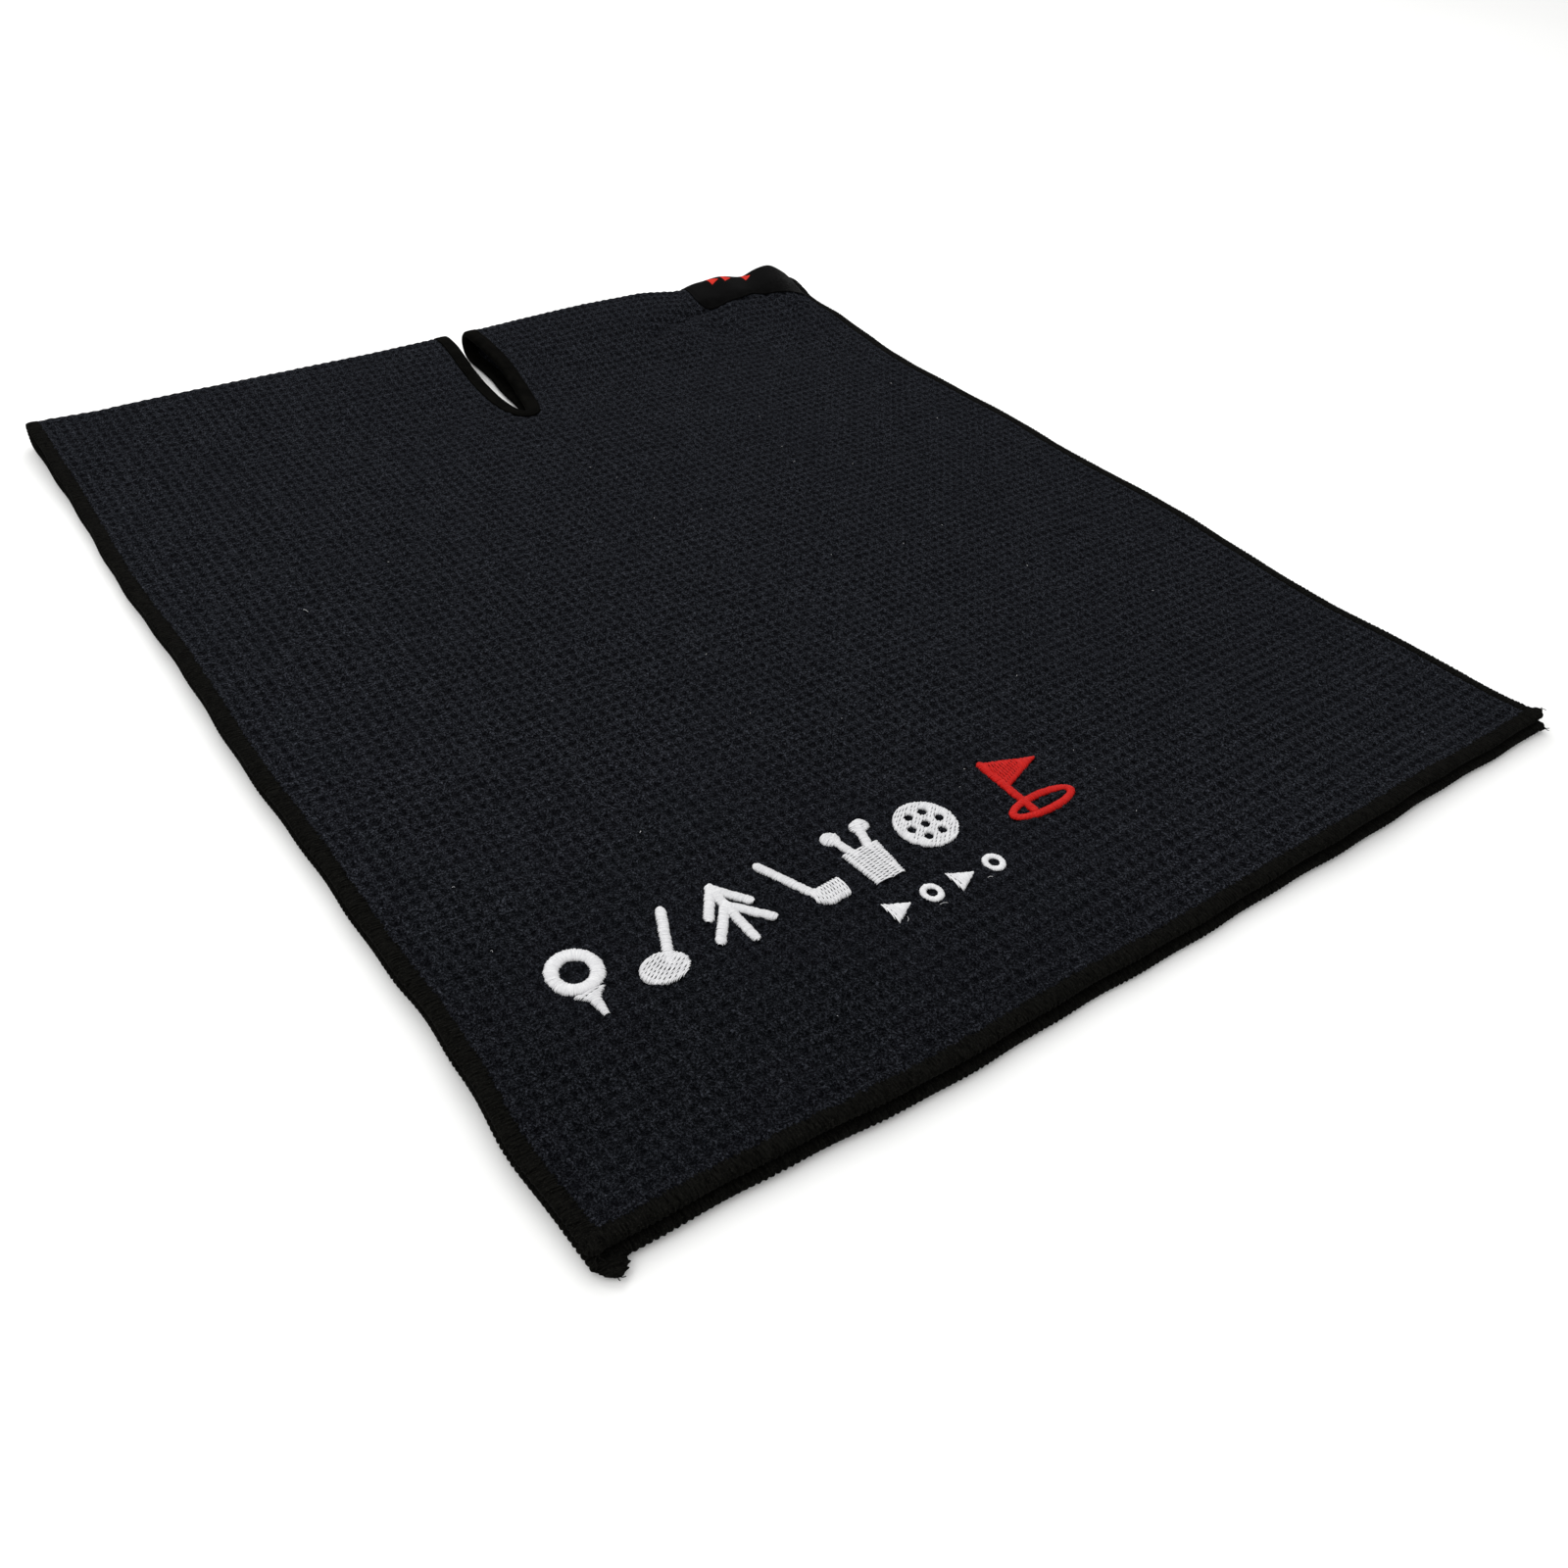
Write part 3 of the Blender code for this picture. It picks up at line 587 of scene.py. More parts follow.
def cloth_grid(s_rows, s_cells, flat_x, slit_column):
    """Points, faces and cells of one panel. The slit's column is there twice where it is open."""
    width = len(flat_x)
    grid_x, grid_s = np.meshgrid(flat_x, s_rows)
    across, along = np.meshgrid(np.arange(-slit_column, width - slit_column) / 2, s_cells)
    shake = random.uniform(-1, 1, (4, *grid_x.shape))
    free = (pinch(grid_x, grid_s) < 0.02) & (np.abs(grid_x - SLIT_X) > 1 * MM)
    free[[0, -1], :] = False
    grid_x = grid_x + SHAKE * shake[0] * free
    grid_s = grid_s + SHAKE * shake[1] * free
    left_x = parted(np.minimum(grid_x, SLIT_X - 1e-6), grid_s)
    right_x = parted(np.maximum(grid_x, SLIT_X + 1e-6), grid_s)
    world_x = np.where(np.arange(width) <= slit_column, left_x, right_x)
    open_rows = np.flatnonzero(into_slit(s_rows) > 0.2 * CELL_S)

    def with_extra(values, extra=None):
        extra = values if extra is None else extra
        return np.concatenate([values.ravel(), extra[open_rows, slit_column]])

    world_x = with_extra(world_x, right_x)
    s_all = with_extra(grid_s)
    held = pinch(world_x, s_all)
    skin = HALF - RELIEF - held * 0.5 * MM
    depth = RELIEF * (1 - 0.85 * held)
    sides = []
    for sign, shift, uneven in ((1, 0.0, shake[2]), (-1, 0.5, shake[3])):
        cell_x, cell_s = with_extra(across) + shift, with_extra(along) + shift
        rough = 1 + UNEVEN * with_extra(uneven)
        points = place(world_x, s_all, sign * (skin + depth * waffle(cell_x, cell_s) * rough))
        sides.append((points, np.stack([cell_x, cell_s, 0 * cell_s + 2 * shift], -1)))
    (outer, outer_fabric), (inner, inner_fabric) = sides
    inner[:, 2] -= INNER_DRAWN_DOWN * np.maximum(inner[:, 2] - INNER_TOP, 0.0)
    rows = len(s_rows)
    twin = {row * width + slit_column: rows * width + i for i, row in enumerate(open_rows)}
    faces = []
    for a, b, c, d in grid_faces(rows, width):
        if a % width == slit_column:
            a, b = twin.get(a, a), twin.get(b, b)
        faces.append((a, b, c, d))
    return {
        "outer": outer,
        "inner": inner,
        "faces": faces,
        "fabric": np.concatenate([outer_fabric, inner_fabric]),
        "first_row": np.append(np.arange(width), rows * width),
        "last_row": np.append(np.arange((rows - 1) * width, rows * width), len(outer) - 1),
    }


def smooth_normals(outer, inner, faces):
    """Point normals of the two skins, without the rim."""
    quads = np.array(faces)
    result = []
    for points, sign in ((outer, 1.0), (inner, -1.0)):
        first = points[quads[:, 2]] - points[quads[:, 0]]
        second = points[quads[:, 3]] - points[quads[:, 1]]
        flat = np.cross(first, second) * sign
        total = np.zeros_like(points)
        for k in range(4):
            np.add.at(total, quads[:, k], flat)
        result.append(total / np.maximum(np.linalg.norm(total, axis=1, keepdims=True), 1e-12))
    return np.concatenate(result)


def make_cloth(material):
    """Two panels that meet on the ridge: the lower one goes round the fold, the upper one starts there."""
    flat_x, slit_column = columns()
    s_low, c_low = rows_between(INSET, S_FOLD, 2)
    s_roll, c_roll = rows_between(S_FOLD, S_RIDGE, 4)
    s_up, c_up = rows_between(S_RIDGE, S_END - INSET, 2)
    s_rows = np.concatenate([s_low, s_roll[1:]])
    cells = np.concatenate([c_low, c_roll[1:] + c_low[-1]])
    lower = cloth_grid(s_rows, cells, flat_x, slit_column)
    upper = cloth_grid(s_up, c_up + cells[-1], flat_x, slit_column)
    for skin in ("outer", "inner"):
        upper[skin][upper["first_row"]] = lower[skin][lower["last_row"]]
    share_normals(lower, upper)
    cloths = []
    for name, panel in (("towel_cloth_lower", lower), ("towel_cloth_upper", upper)):
        parts = [panel[key] for key in ("outer", "inner", "faces", "fabric", "normals")]
        cloths.append(closed_sheet(name, *parts))
    rolls = ("fold_roll_left", "fold_roll_right", "fold_roll_under_label")
    finish_piece(cloths[0], material, "cloth", turns=True, stands_for=("lower_leaf", *rolls))
    finish_piece(cloths[1], material, "cloth", body="upper_half", stands_for=("upper_leaf",))
    return cloths


def share_normals(lower, upper):
    """Gives both panels their normals, and one normal to the points that they share on the ridge."""
    for panel in (lower, upper):
        panel["normals"] = smooth_normals(panel["outer"], panel["inner"], panel["faces"])
    for skin in (0, 1):
        a = lower["last_row"] + skin * len(lower["outer"])
        b = upper["first_row"] + skin * len(upper["outer"])
        total = lower["normals"][a] + upper["normals"][b]
        total /= np.linalg.norm(total, axis=1, keepdims=True)
        lower["normals"][a] = total
        upper["normals"][b] = total


# ---- edging

PITCH = 1.1 * MM  # from one overlock thread to the next
SAMPLES = 4  # sections to a thread
BEAD = 1.9 * MM  # from one knot of the outer chain to the next
BAND_INSET = 0.4 * MM  # from the corner of the cloth to the end of a band
# Section of the edging, in millimetres: distance in from the cloth's edge, and height over its middle.
EDGING_SECTION = (
    *((5.0, 0.72), (4.1, 1.18), (2.9, 1.32), (1.8, 1.32), (0.75, 1.20), (0.1, 0.82), (-0.1, 0.0)),
    *((0.1, -0.82), (0.75, -1.20), (1.8, -1.32), (2.9, -1.32), (4.1, -1.18), (5.0, -0.72)),
    *((4.4, -0.3), (4.4, 0.3)),
)
THREAD_ENDS = (0, 12)  # points of the section where the threads end,
NEXT_TO_ENDS = (1, 11)  # next to those,
CHAIN = (5, 6, 7)  # and on the outer chain
SKIN = range(13)  # the others lie inside the cloth
# How threads differ from the section, each between two values, in millimetres.
REACH = (-0.7, 0.8)
THICKER = (-0.07, 0.05)
LEAN = (0.05, 0.16)  # along the band, for each millimetre in from the edge
GROOVE_SHORTER = 1.0  # how much less the band reaches in between two threads
GROOVE_THINNER = 0.20


def thread_band(name, start, stop, point):
    """A band of overlock threads. point(along, inward, height) gives its places."""
    threads = int(round((stop - start) / PITCH))
    steps = np.arange(threads * SAMPLES + 1)
    along = np.linspace(start, stop, len(steps))
    thread = np.minimum(steps // SAMPLES, threads - 1)
    between = steps % SAMPLES == 0
    reach = random.uniform(*REACH, threads)[thread] - GROOVE_SHORTER * between
    thick = random.uniform(*THICKER, threads)[thread] - GROOVE_THINNER * between
    lean = random.uniform(*LEAN, threads)[thread]
    wander = 0.22 * np.sin(along / (9.0 * MM)) + 0.16 * np.sin(along / (3.7 * MM) + 1.3)
    bead = 0.62 * np.abs(np.sin(np.pi * along / BEAD)) * (0.65 + 0.35 * np.sin(along / (5 * MM)))
    inward, height = [np.tile(values, (len(steps), 1)) for values in np.array(EDGING_SECTION).T]
    ends, near_ends, chain, skin = [
        np.isin(np.arange(len(EDGING_SECTION)), which) for which in (THREAD_ENDS, NEXT_TO_ENDS, CHAIN, SKIN)
    ]
    inward = inward + reach[:, None] * ends + 0.4 * reach[:, None] * near_ends
    inward = inward - bead[:, None] * chain + (wander * 0.5)[:, None] * (1 - chain)
    height = height + np.sign(height) * thick[:, None] * skin
    slanted = along[:, None] + lean[:, None] * np.maximum(inward, 0) * MM
    slanted = np.clip(slanted, start, stop)
    sections = point(slanted, inward * MM, height * MM)
    return swept(name, sections, np.stack([slanted / MM, inward, height], -1))


def make_edging(material):
    """Overlocked edging on both sides and both hems of the cloth."""
    made = []
    for side, edge, way in (("left", LEFT, 1), ("right", RIGHT, -1)):

        def point(along, inward, height, edge=edge, way=way):
            return place(edge + way * inward, along, height)

        for leaf, start, stop in (("lower", BAND_INSET, S_RIDGE), ("upper", S_RIDGE, S_END - BAND_INSET)):
            band = thread_band(f"edging_{side}_{leaf}", start, stop, point)
            lower = leaf == "lower"
            stands_for = (f"{leaf}_edging_{side}",)
            if lower:
                stands_for += (f"fold_edging_{side}",)
            made.append(finish_piece(band, material, "edging", "upper_half", lower, stands_for))
    for leaf, edge, way in (("lower", 0.0, 1), ("upper", S_END, -1)):

        def point(along, inward, height, edge=edge, way=way):
            return place(along, edge + way * inward, height * 1.05)

        hem = thread_band(f"edging_hem_{leaf}", LEFT + BAND_INSET, RIGHT - BAND_INSET, point)
        stands_for = (f"{leaf}_hem_edging",)
        made.append(finish_piece(hem, material, "edging", f"{leaf}_half", stands_for=stands_for))
    return made


# Thread chain cut off at each hem corner: leaf, side, where it starts (in from the side, in from the hem),
# heading in degrees from straight outwards past the side, length and the widths along it, in millimetres.
TAILS = (
    ("lower", "left", (4.6, 2.2), 80, 6.0, (7.4, 8.0, 8.2, 7.6, 6.0, 2.6)),
    ("upper", "left", (2.9, 2.4), 62, 3.6, (5.2, 5.2, 4.4, 3.2, 1.6, 0.6)),
    ("lower", "right", (3.8, 2.4), 46, 4.4, (5.0, 5.2, 4.6, 3.6, 2.2, 0.5)),
    ("upper", "right", (3.8, 2.8), -2, 7.6, (5.4, 5.6, 5.0, 3.8, 2.2, 0.4)),
)
TAIL_ROUND = 14  # points round a tail
TAIL_ROWS = 26
LOOSE_POINTS = 9  # points along a loose thread
LOOSE_RADIUS = 0.14 * MM
LOOSE_HEADINGS = (-0.7, 0.35)  # of the two loose threads, in radians from the tail's own


def make_tail(material, leaf, side, start, heading, length, widths):
    """One flattened, knotty end of the overlock chain, with two loose threads at its tip."""
    edge, way = (LEFT, -1) if side == "left" else (RIGHT, 1)
    turn = math.radians(heading)
    forward = np.array([math.cos(turn), math.sin(turn)])
    sideways = np.array([-forward[1], forward[0]])
    travel = np.linspace(0, length, TAIL_ROWS)
    width = np.interp(travel, np.linspace(0, length, len(widths)), widths)
    width = width * (1 + 0.05 * np.sin(travel * 5.2) + random.uniform(-0.04, 0.04, TAIL_ROWS))
    thick = np.minimum(2.5, 0.35 + width * 0.62)
    around = np.arange(TAIL_ROUND) / TAIL_ROUND * 2 * np.pi
    knots = 1 + 0.10 * np.sin(3 * around + travel[:, None] * 4.0)
    across = width[:, None] / 2 * np.cos(around) * knots
    height = thick[:, None] / 2 * np.sin(around) * knots
    bend = 0.12 * travel**2 / length
    outwards = -start[0] + travel * forward[0] + bend * sideways[0]
    beyond = -start[1] + travel * forward[1] + bend * sideways[1]

    def point(out, past, high):
        s = -past * MM if leaf == "lower" else S_END + past * MM
        return place(edge + way * out * MM, s, high * MM)

    sections = point(
        outwards[:, None] + across * sideways[0], beyond[:, None] + across * sideways[1], height
    )
    fabric = np.stack(np.broadcast_arrays(travel[:, None], across, height), -1)
    name = f"thread_tail_{leaf}_{side}"
    tail = swept(name, sections, fabric)
    node = f"{leaf}_thread_tail_{side}"
    made = [finish_piece(tail, material, "edging", f"{leaf}_half", stands_for=(node,))]
    steps = np.linspace(0, 1, LOOSE_POINTS)
    paths = []
    for turned in LOOSE_HEADINGS:
        reach = random.uniform(1.6, 2.6)
        curl = turned + steps * 1.1
        out = outwards[-2] + np.cumsum(np.cos(turn + curl)) * reach / LOOSE_POINTS
        past = beyond[-2] + np.cumsum(np.sin(turn + curl)) * reach / LOOSE_POINTS
        paths.append(point(out, past, 0.2 * np.sin(steps * 4)))
    radius = np.full((len(paths), LOOSE_POINTS), LOOSE_RADIUS)
    ends = tubes(f"{name}_ends", np.array(paths), radius, radius, 5)
    made.append(finish_piece(ends, material, "edging", f"{leaf}_half"))
    return made


# ---- slit binding

# Section of the folded tape, in millimetres: distance out from the slit's edge, and height over the middle.
BINDING_SECTION = (
    *((6.5, 0.95), (6.2, 1.36), (5.5, 1.44), (5.15, 1.28), (4.8, 1.44), (3.4, 1.50)),
    *((2.5, 1.40), (2.1, 1.46), (0.9, 1.30), (0.15, 0.75), (-0.1, 0.0)),
)


def slit_path(lower):
    """The slit's edge on one leaf as x and s, from the ridge round its closed end and back."""
    turn = np.linspace(0, np.pi / 2, 30)
    inward = SLIT_WIDEST * (1 - np.cos(turn))
    closed_end, way, count = (S_SLIT_START, 1, 46) if lower else (S_SLIT_STOP, -1, 26)
    rest = np.linspace(SLIT_WIDEST, way * (S_RIDGE - closed_end), count)[1:]
    s = closed_end + way * np.concatenate([inward, rest])
    x_left = slit_centre(s) - slit_half(s)
    x_right = slit_centre(s) + slit_half(s)
    return np.concatenate([x_left[::-1], x_right[1:]]), np.concatenate([s[::-1], s[1:]])


def make_binding(material):
    """Tape folded over the slit's edge, one length on each leaf."""
    half = np.array(BINDING_SECTION)
    section = np.concatenate([half, half[-2::-1] * (1, -1), [(5.6, -0.3), (5.6, 0.3)]])
    made = []
    for leaf, lower in (("lower", True), ("upper", False)):
        x, s = slit_path(lower)
        along_x, along_s = np.gradient(x), np.gradient(s)
        length = np.hypot(along_x, along_s)
        out_x, out_s = along_s / length, -along_x / length
        if out_x[len(x) // 4] > 0:  # the first half of the path is the left side, where out is towards -x
            out_x, out_s = -out_x, -out_s
        travel = np.concatenate([[0], np.cumsum(np.hypot(np.diff(x), np.diff(s)))])
        wave = 0.05 * np.sin(travel / (2.1 * MM)) + 0.05 * np.sin(travel / (5.3 * MM))
        inward = section[None, :, 0] + wave[:, None]
        px = x[:, None] + out_x[:, None] * inward * MM
        ps = s[:, None] + out_s[:, None] * inward * MM
        height = section[None, :, 1] * (1 + 0.4 * wave[:, None])
        sections = place(px, ps, height * MM)
        fabric = np.stack(np.broadcast_arrays(travel[:, None] / MM, inward, height), -1)
        piece = swept(f"binding_{leaf}", sections, fabric)
        stands_for = (f"slit_binding_{leaf}",)
        if lower:
            stands_for += ("slit_binding_fold_left", "slit_binding_fold_right")
        made.append(finish_piece(piece, material, "binding", "upper_half", lower, stands_for))
    return made


# ---- label

LABEL_UNDER = 12 * MM
LABEL_FRONT = 17.5 * MM  # from the ridge to the front edge, where it reaches least
LABEL_MORE_LEFT = 3.6 * MM  # how much further it reaches at its left end
LABEL_MORE_RIGHT = 6.8 * MM  # and at its right end
LABEL_ROUND = 8.0 * MM  # radius of its front left corner
LABEL_CLOTH = 0.35 * MM
LABEL_HEIGHT = 2.02  # millimetres from the middle of the cloth to the label's face, which pucker varies
PENNANTS = (15 * MM, 23 * MM, 37 * MM)  # from the label's left edge
PENNANT_LENGTH = 5.5 * MM
PENNANT_HALF = 3.6 * MM  # half of its height at the pole
PENNANT_BACK = 1.2 * MM  # from the ridge to its middle
PENNANT_STEPS = 11


def label_height(x, s):
    """How far the label's outer face stands over the cloth's middle."""
    a = (x - LABEL_LEFT) / MM
    b = (s - S_RIDGE) / MM
    pucker = 0.30 * np.sin(a / 3.3 + 0.5 * np.sin(b / 4.0)) + 0.22 * np.sin(a / 7.1 + b / 5.0)
    held = np.minimum(np.minimum(a, (LABEL_RIGHT - LABEL_LEFT) / MM - a) / 3.0, 1.0)
    return (LABEL_HEIGHT + 0.9 * pucker * np.clip(held, 0.2, 1) * ease((b + 22) / 14)) * MM


def label_front(x):
    """How far the label reaches forward of the ridge at x, with a round left corner."""
    a = x - LABEL_LEFT
    front = LABEL_FRONT + LABEL_MORE_LEFT * (1 - ease((a - 20 * MM) / (18 * MM)))
    front = front + LABEL_MORE_RIGHT * ease((a - 36 * MM) / (18 * MM))
    inside = np.clip(LABEL_ROUND - a, 0, LABEL_ROUND)
    return front - LABEL_ROUND + np.sqrt(LABEL_ROUND**2 - inside**2)


def make_label(material, print_material):
    """Satin label folded over the ridge, with three printed pennants."""
    across = np.linspace(0, 1, 90) ** 1.25
    down = np.linspace(0, 1, 64)
    share_x, share_s = np.meshgrid(across, down)
    x = LABEL_LEFT + share_x * (LABEL_RIGHT - LABEL_LEFT)
    s = S_FOLD - LABEL_UNDER + share_s * (ROLL_LENGTH + LABEL_UNDER + label_front(x))
    face = label_height(x, s)
    edge = np.minimum(np.minimum(share_x, 1 - share_x) * 22, np.minimum(share_s, 1 - share_s) * 14)
    face = face - 0.25 * MM * (1 - ease(edge))
    label = thin_sheet("label", x, s, face, LABEL_CLOTH)
    stands_for = ("label_lower", "label_fold", "label_upper")
    finish_piece(label, material, "label", turns=True, stands_for=stands_for)
    pennants = []
    for number, from_left in enumerate(PENNANTS, 1):
        pennants.append(make_pennant(number, LABEL_LEFT + from_left, print_material))
    return label, pennants


def make_pennant(number, x_from, material):
    """One printed pennant, on the side of the ridge that looks forward."""
    share = np.linspace(0, 1, PENNANT_STEPS)
    side = np.linspace(-1, 1, PENNANT_STEPS)
    grid_a, grid_b = np.meshgrid(share, side)
    x = x_from + grid_a * PENNANT_LENGTH
    s = S_RIDGE + PENNANT_BACK + grid_b * PENNANT_HALF * (1 - 0.96 * grid_a)
    pennant = thin_sheet(f"label_pennant_{number}", x, s, label_height(x, s) + 0.05 * MM, 0.12 * MM)
    stands_for = (f"label_print_{number}",)
    return finish_piece(pennant, material, "print_red", "upper_half", stands_for=stands_for)


# ---- threads


def tubes(name, paths, widths, heights, sides):
    """Many short tubes in one mesh. paths is (tubes, points, 3); widths and heights are half sizes."""
    count, length, _ = paths.shape
    tangent = np.gradient(paths, axis=1)
    tangent /= np.maximum(np.linalg.norm(tangent, axis=2, keepdims=True), 1e-12)
    lateral = np.cross(tangent, np.array([0.0, 0.0, 1.0]))
    lateral /= np.maximum(np.linalg.norm(lateral, axis=2, keepdims=True), 1e-12)
    upward = np.cross(lateral, tangent)
    turn = np.arange(sides) / sides * 2 * np.pi
    out = (np.cos(turn) * widths[:, :, None])[..., None]
    up = (np.sin(turn) * heights[:, :, None])[..., None]
    points = paths[:, :, None, :] + lateral[:, :, None, :] * out + upward[:, :, None, :] * up
    travel = np.zeros((count, length))
    travel[:, 1:] = np.cumsum(np.linalg.norm(np.diff(paths, axis=1), axis=2), axis=1)
    own = (np.arange(count) * 3.7)[:, None, None]  # so that no two threads look the same
    fabric = np.stack(np.broadcast_arrays(travel[:, :, None] / MM, np.cos(turn) * 0.4, own), -1)
    faces = []
    for t in range(count):
        first = t * length * sides
        for p in range(length - 1):
            a = first + p * sides
            for k in range(sides):
                j = (k + 1) % sides
                faces.append((a + k, a + j, a + sides + j, a + sides + k))
        faces.append(tuple(first + k for k in reversed(range(sides))))
        last = first + (length - 1) * sides
        faces.append(tuple(last + k for k in range(sides)))
    return new_piece(name, points, faces, fabric.reshape(-1, 3))


# ---- embroidery

STITCH_PITCH = 0.36  # millimetres between stitches
STITCH_LEAN = 0.12  # how far a stitch slants along its stroke, for its length
LONGEST = 6.5  # millimetres, after which a filling stitch is split
SHORTEST = 0.5
UPPER_FACE = HALF - 0.15 * MM
# How one stitch differs from the next, in millimetres.
STITCH_REACH = (-0.12, 0.26)  # how far it ends beyond its outline
STITCH_STRAY = 0.035  # how far its ends stray
STITCH_UNEVEN = (-0.06, 0.06)  # how much higher it lies
STITCH_HALF = (0.20, 0.245)  # half of its width
BOBBIN_RADIUS = 0.16 * MM
LARGE_RISE = 0.62 * MM  # how high the threads stand over the cloth in the large pictures
SMALL_RISE = 0.42 * MM  # and in the small ones


def column(points, width):
    """Satin stitches across a stroke that follows points, with round ends."""
    points = np.array(points, float)
    pieces = np.diff(points, axis=0)
    lengths = np.hypot(*pieces.T)
    travel = np.concatenate([[0], np.cumsum(lengths)])
    total = travel[-1]
    places = np.arange(STITCH_PITCH / 2 - width / 2, total + width / 2, STITCH_PITCH)
    stitches = []
    for d in places:
        inside = min(max(d, 0.0), total)
        k = min(int(np.searchsorted(travel, inside, side="right")) - 1, len(pieces) - 1)
        direction = pieces[k] / lengths[k]
        centre = points[k] + direction * (d - travel[k])
        outside = max(-d, d - total, 0.0)
        half = math.sqrt(max((width / 2) ** 2 - outside**2, 0.01))
        across = np.array([-direction[1], direction[0]]) + direction * STITCH_LEAN
        stitches.append((centre - across * half, centre + across * half))
    return stitches


def ring(centre, radius_x, radius_y, width):
    """Stitches across an oval line."""
    around = 2 * math.pi * math.sqrt((radius_x**2 + radius_y**2) / 2)
    count = int(around / STITCH_PITCH)
    stitches = []
    for i in range(count):
        angle = 2 * math.pi * i / count
        u, v = math.cos(angle), math.sin(angle)
        outer = (centre[0] + radius_x * u, centre[1] + radius_y * v)
        inner = (centre[0] + (radius_x - width) * u, centre[1] + (radius_y - width) * v)
        stitches.append((np.array(inner), np.array(outer)))
    return stitches


def filled(outlines, angle=0.0):
    """Parallel stitches over outlines, the ones inside others being holes."""
    turn = math.radians(angle)
    axis = np.array([math.cos(turn), math.sin(turn)])
    over = np.array([-axis[1], axis[0]])
    loops = [np.array(outline, float) for outline in outlines]
    heights = np.concatenate([loop @ over for loop in loops])
    stitches = []
    rows = np.arange(heights.min() + STITCH_PITCH / 2, heights.max(), STITCH_PITCH)
    for number, level in enumerate(rows):
        crossings = []
        for loop in loops:
            a, b = loop, np.roll(loop, -1, axis=0)
            ha, hb = a @ over - level, b @ over - level
            for k in np.flatnonzero((ha > 0) != (hb > 0)):
                share = ha[k] / (ha[k] - hb[k])
                crossings.append(float((a[k] + (b[k] - a[k]) * share) @ axis))
        crossings.sort()
        for low_, high_ in zip(crossings[::2], crossings[1::2]):
            if high_ - low_ > SHORTEST:
                for start, stop in split(low_, high_, number):
                    stitches.append((axis * start + over * level, axis * stop + over * level))
    return stitches


def split(low_, high_, number):
    """A span as stitches no longer than LONGEST, staggered from row to row."""
    if high_ - low_ <= LONGEST:
        return [(low_, high_)]
    shift = (number % 3) * LONGEST / 3
    cuts = np.arange(low_ + shift - LONGEST, high_, LONGEST)
    cuts = [low_] + [cut for cut in cuts if low_ + 1.2 < cut < high_ - 1.2] + [high_]
    return list(zip(cuts[:-1], cuts[1:]))


def circle(centre, radius_x, radius_y=None):
    radius_y = radius_x if radius_y is None else radius_y
    turn = np.linspace(0, 2 * math.pi, 37)[:-1]
    return [(centre[0] + radius_x * math.cos(t), centre[1] + radius_y * math.sin(t)) for t in turn]


def pictures():
    """Each embroidered picture's stitches, in millimetres from its own lower left corner."""
    thick, thin = 4.2, 3.2
    tee = [(5.5, 9.4), (15.5, 9.4), (12.2, 6.0), (11.4, 0.0), (9.6, 0.0), (8.8, 6.0)]
    blade = [(9.0, 8.8), (12.6, 8.0), (20.8, 8.6), (20.2, 0.8), (12.5, 0.0), (9.0, 2.6)]
    body = [(4.5, 0.0), (15.5, 0.0), (17.0, 15.0), (3.0, 15.0)]
    dimples = [circle((10.5, 13.0), 1.5)]
    for i in range(6):
        turn = math.radians(60 * i)
        dimples.append(circle((10.5 + 5.6 * math.cos(turn), 13.0 + 5.6 * math.sin(turn)), 1.5))
    tree = column([(10.5, 13.0), (10.5, 1.6)], thin)
    for tip, foot, reach in ((24.2, 14.5, 7.0), (16.5, 5.5, 9.0)):
        tree += column([(10.5 - reach, foot), (10.5, tip)], thin)
        tree += column([(10.5, tip), (10.5 + reach, foot)], thin)
    tree += column([(10.5, 24.0), (10.5, 15.0)], thin)
    bag = column([(7.0, 14.0), (5.0, 22.5)], thin) + column([(13.0, 14.0), (15.5, 23.0)], thin)
    bag += filled([circle((4.6, 23.0), 3.4, 2.9)], 20) + filled([circle((16.2, 23.2), 3.6, 2.8)], -20)
    flag = column([(9.0, 28.8), (9.0, 4.0)], thin)
    flag += filled([[(8.6, 30.4), (28.5, 23.0), (8.6, 15.6)]], 78)
    return {
        "ball_on_tee": ring((10.5, 17.5), 8.5, 8.5, thick) + filled([tee], 0),
        "driver": column([(18.0, 24.2), (10.0, 7.0)], thin) + filled([circle((7.6, 5.6), 7.6, 5.6)], 25),
        "pine_tree": tree,
        "iron": column([(3.0, 24.2), (10.5, 6.0)], thin) + filled([blade], 84),
        "golf_bag": filled([body], 0) + bag,
        "dimpled_ball": filled([circle((10.5, 13.0), 10.5), *dimples], 30),
        "pin_flag": flag + ring((14.0, 5.0), 14.0, 5.0, 2.8),
        "small_pennant": filled([[(1.0, 0.8), (9.4, 5.0), (1.0, 9.2)]], 84),
        "small_ball": ring((5.0, 5.0), 3.6, 3.6, 1.9),
    }


def stitch_ends(stitches, node):
    """The ends of a picture's stitches, in millimetres, and the shift that puts them over the CAD node."""
    ends = np.array(stitches)
    node_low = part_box(node)[0]
    return ends, np.array([node_low.x, node_low.y]) / MM - ends.reshape(-1, 2).min(0)


def along_stitches(ends, share):
    """x and s of the points at these shares of each stitch's length."""
    share = np.array(share)[None, :, None]
    flat = ends[:, None, 0] * (1 - share) + ends[:, None, 1] * share
    return flat[..., 0] * MM, S_RIDGE + RIDGE_Y - flat[..., 1] * MM


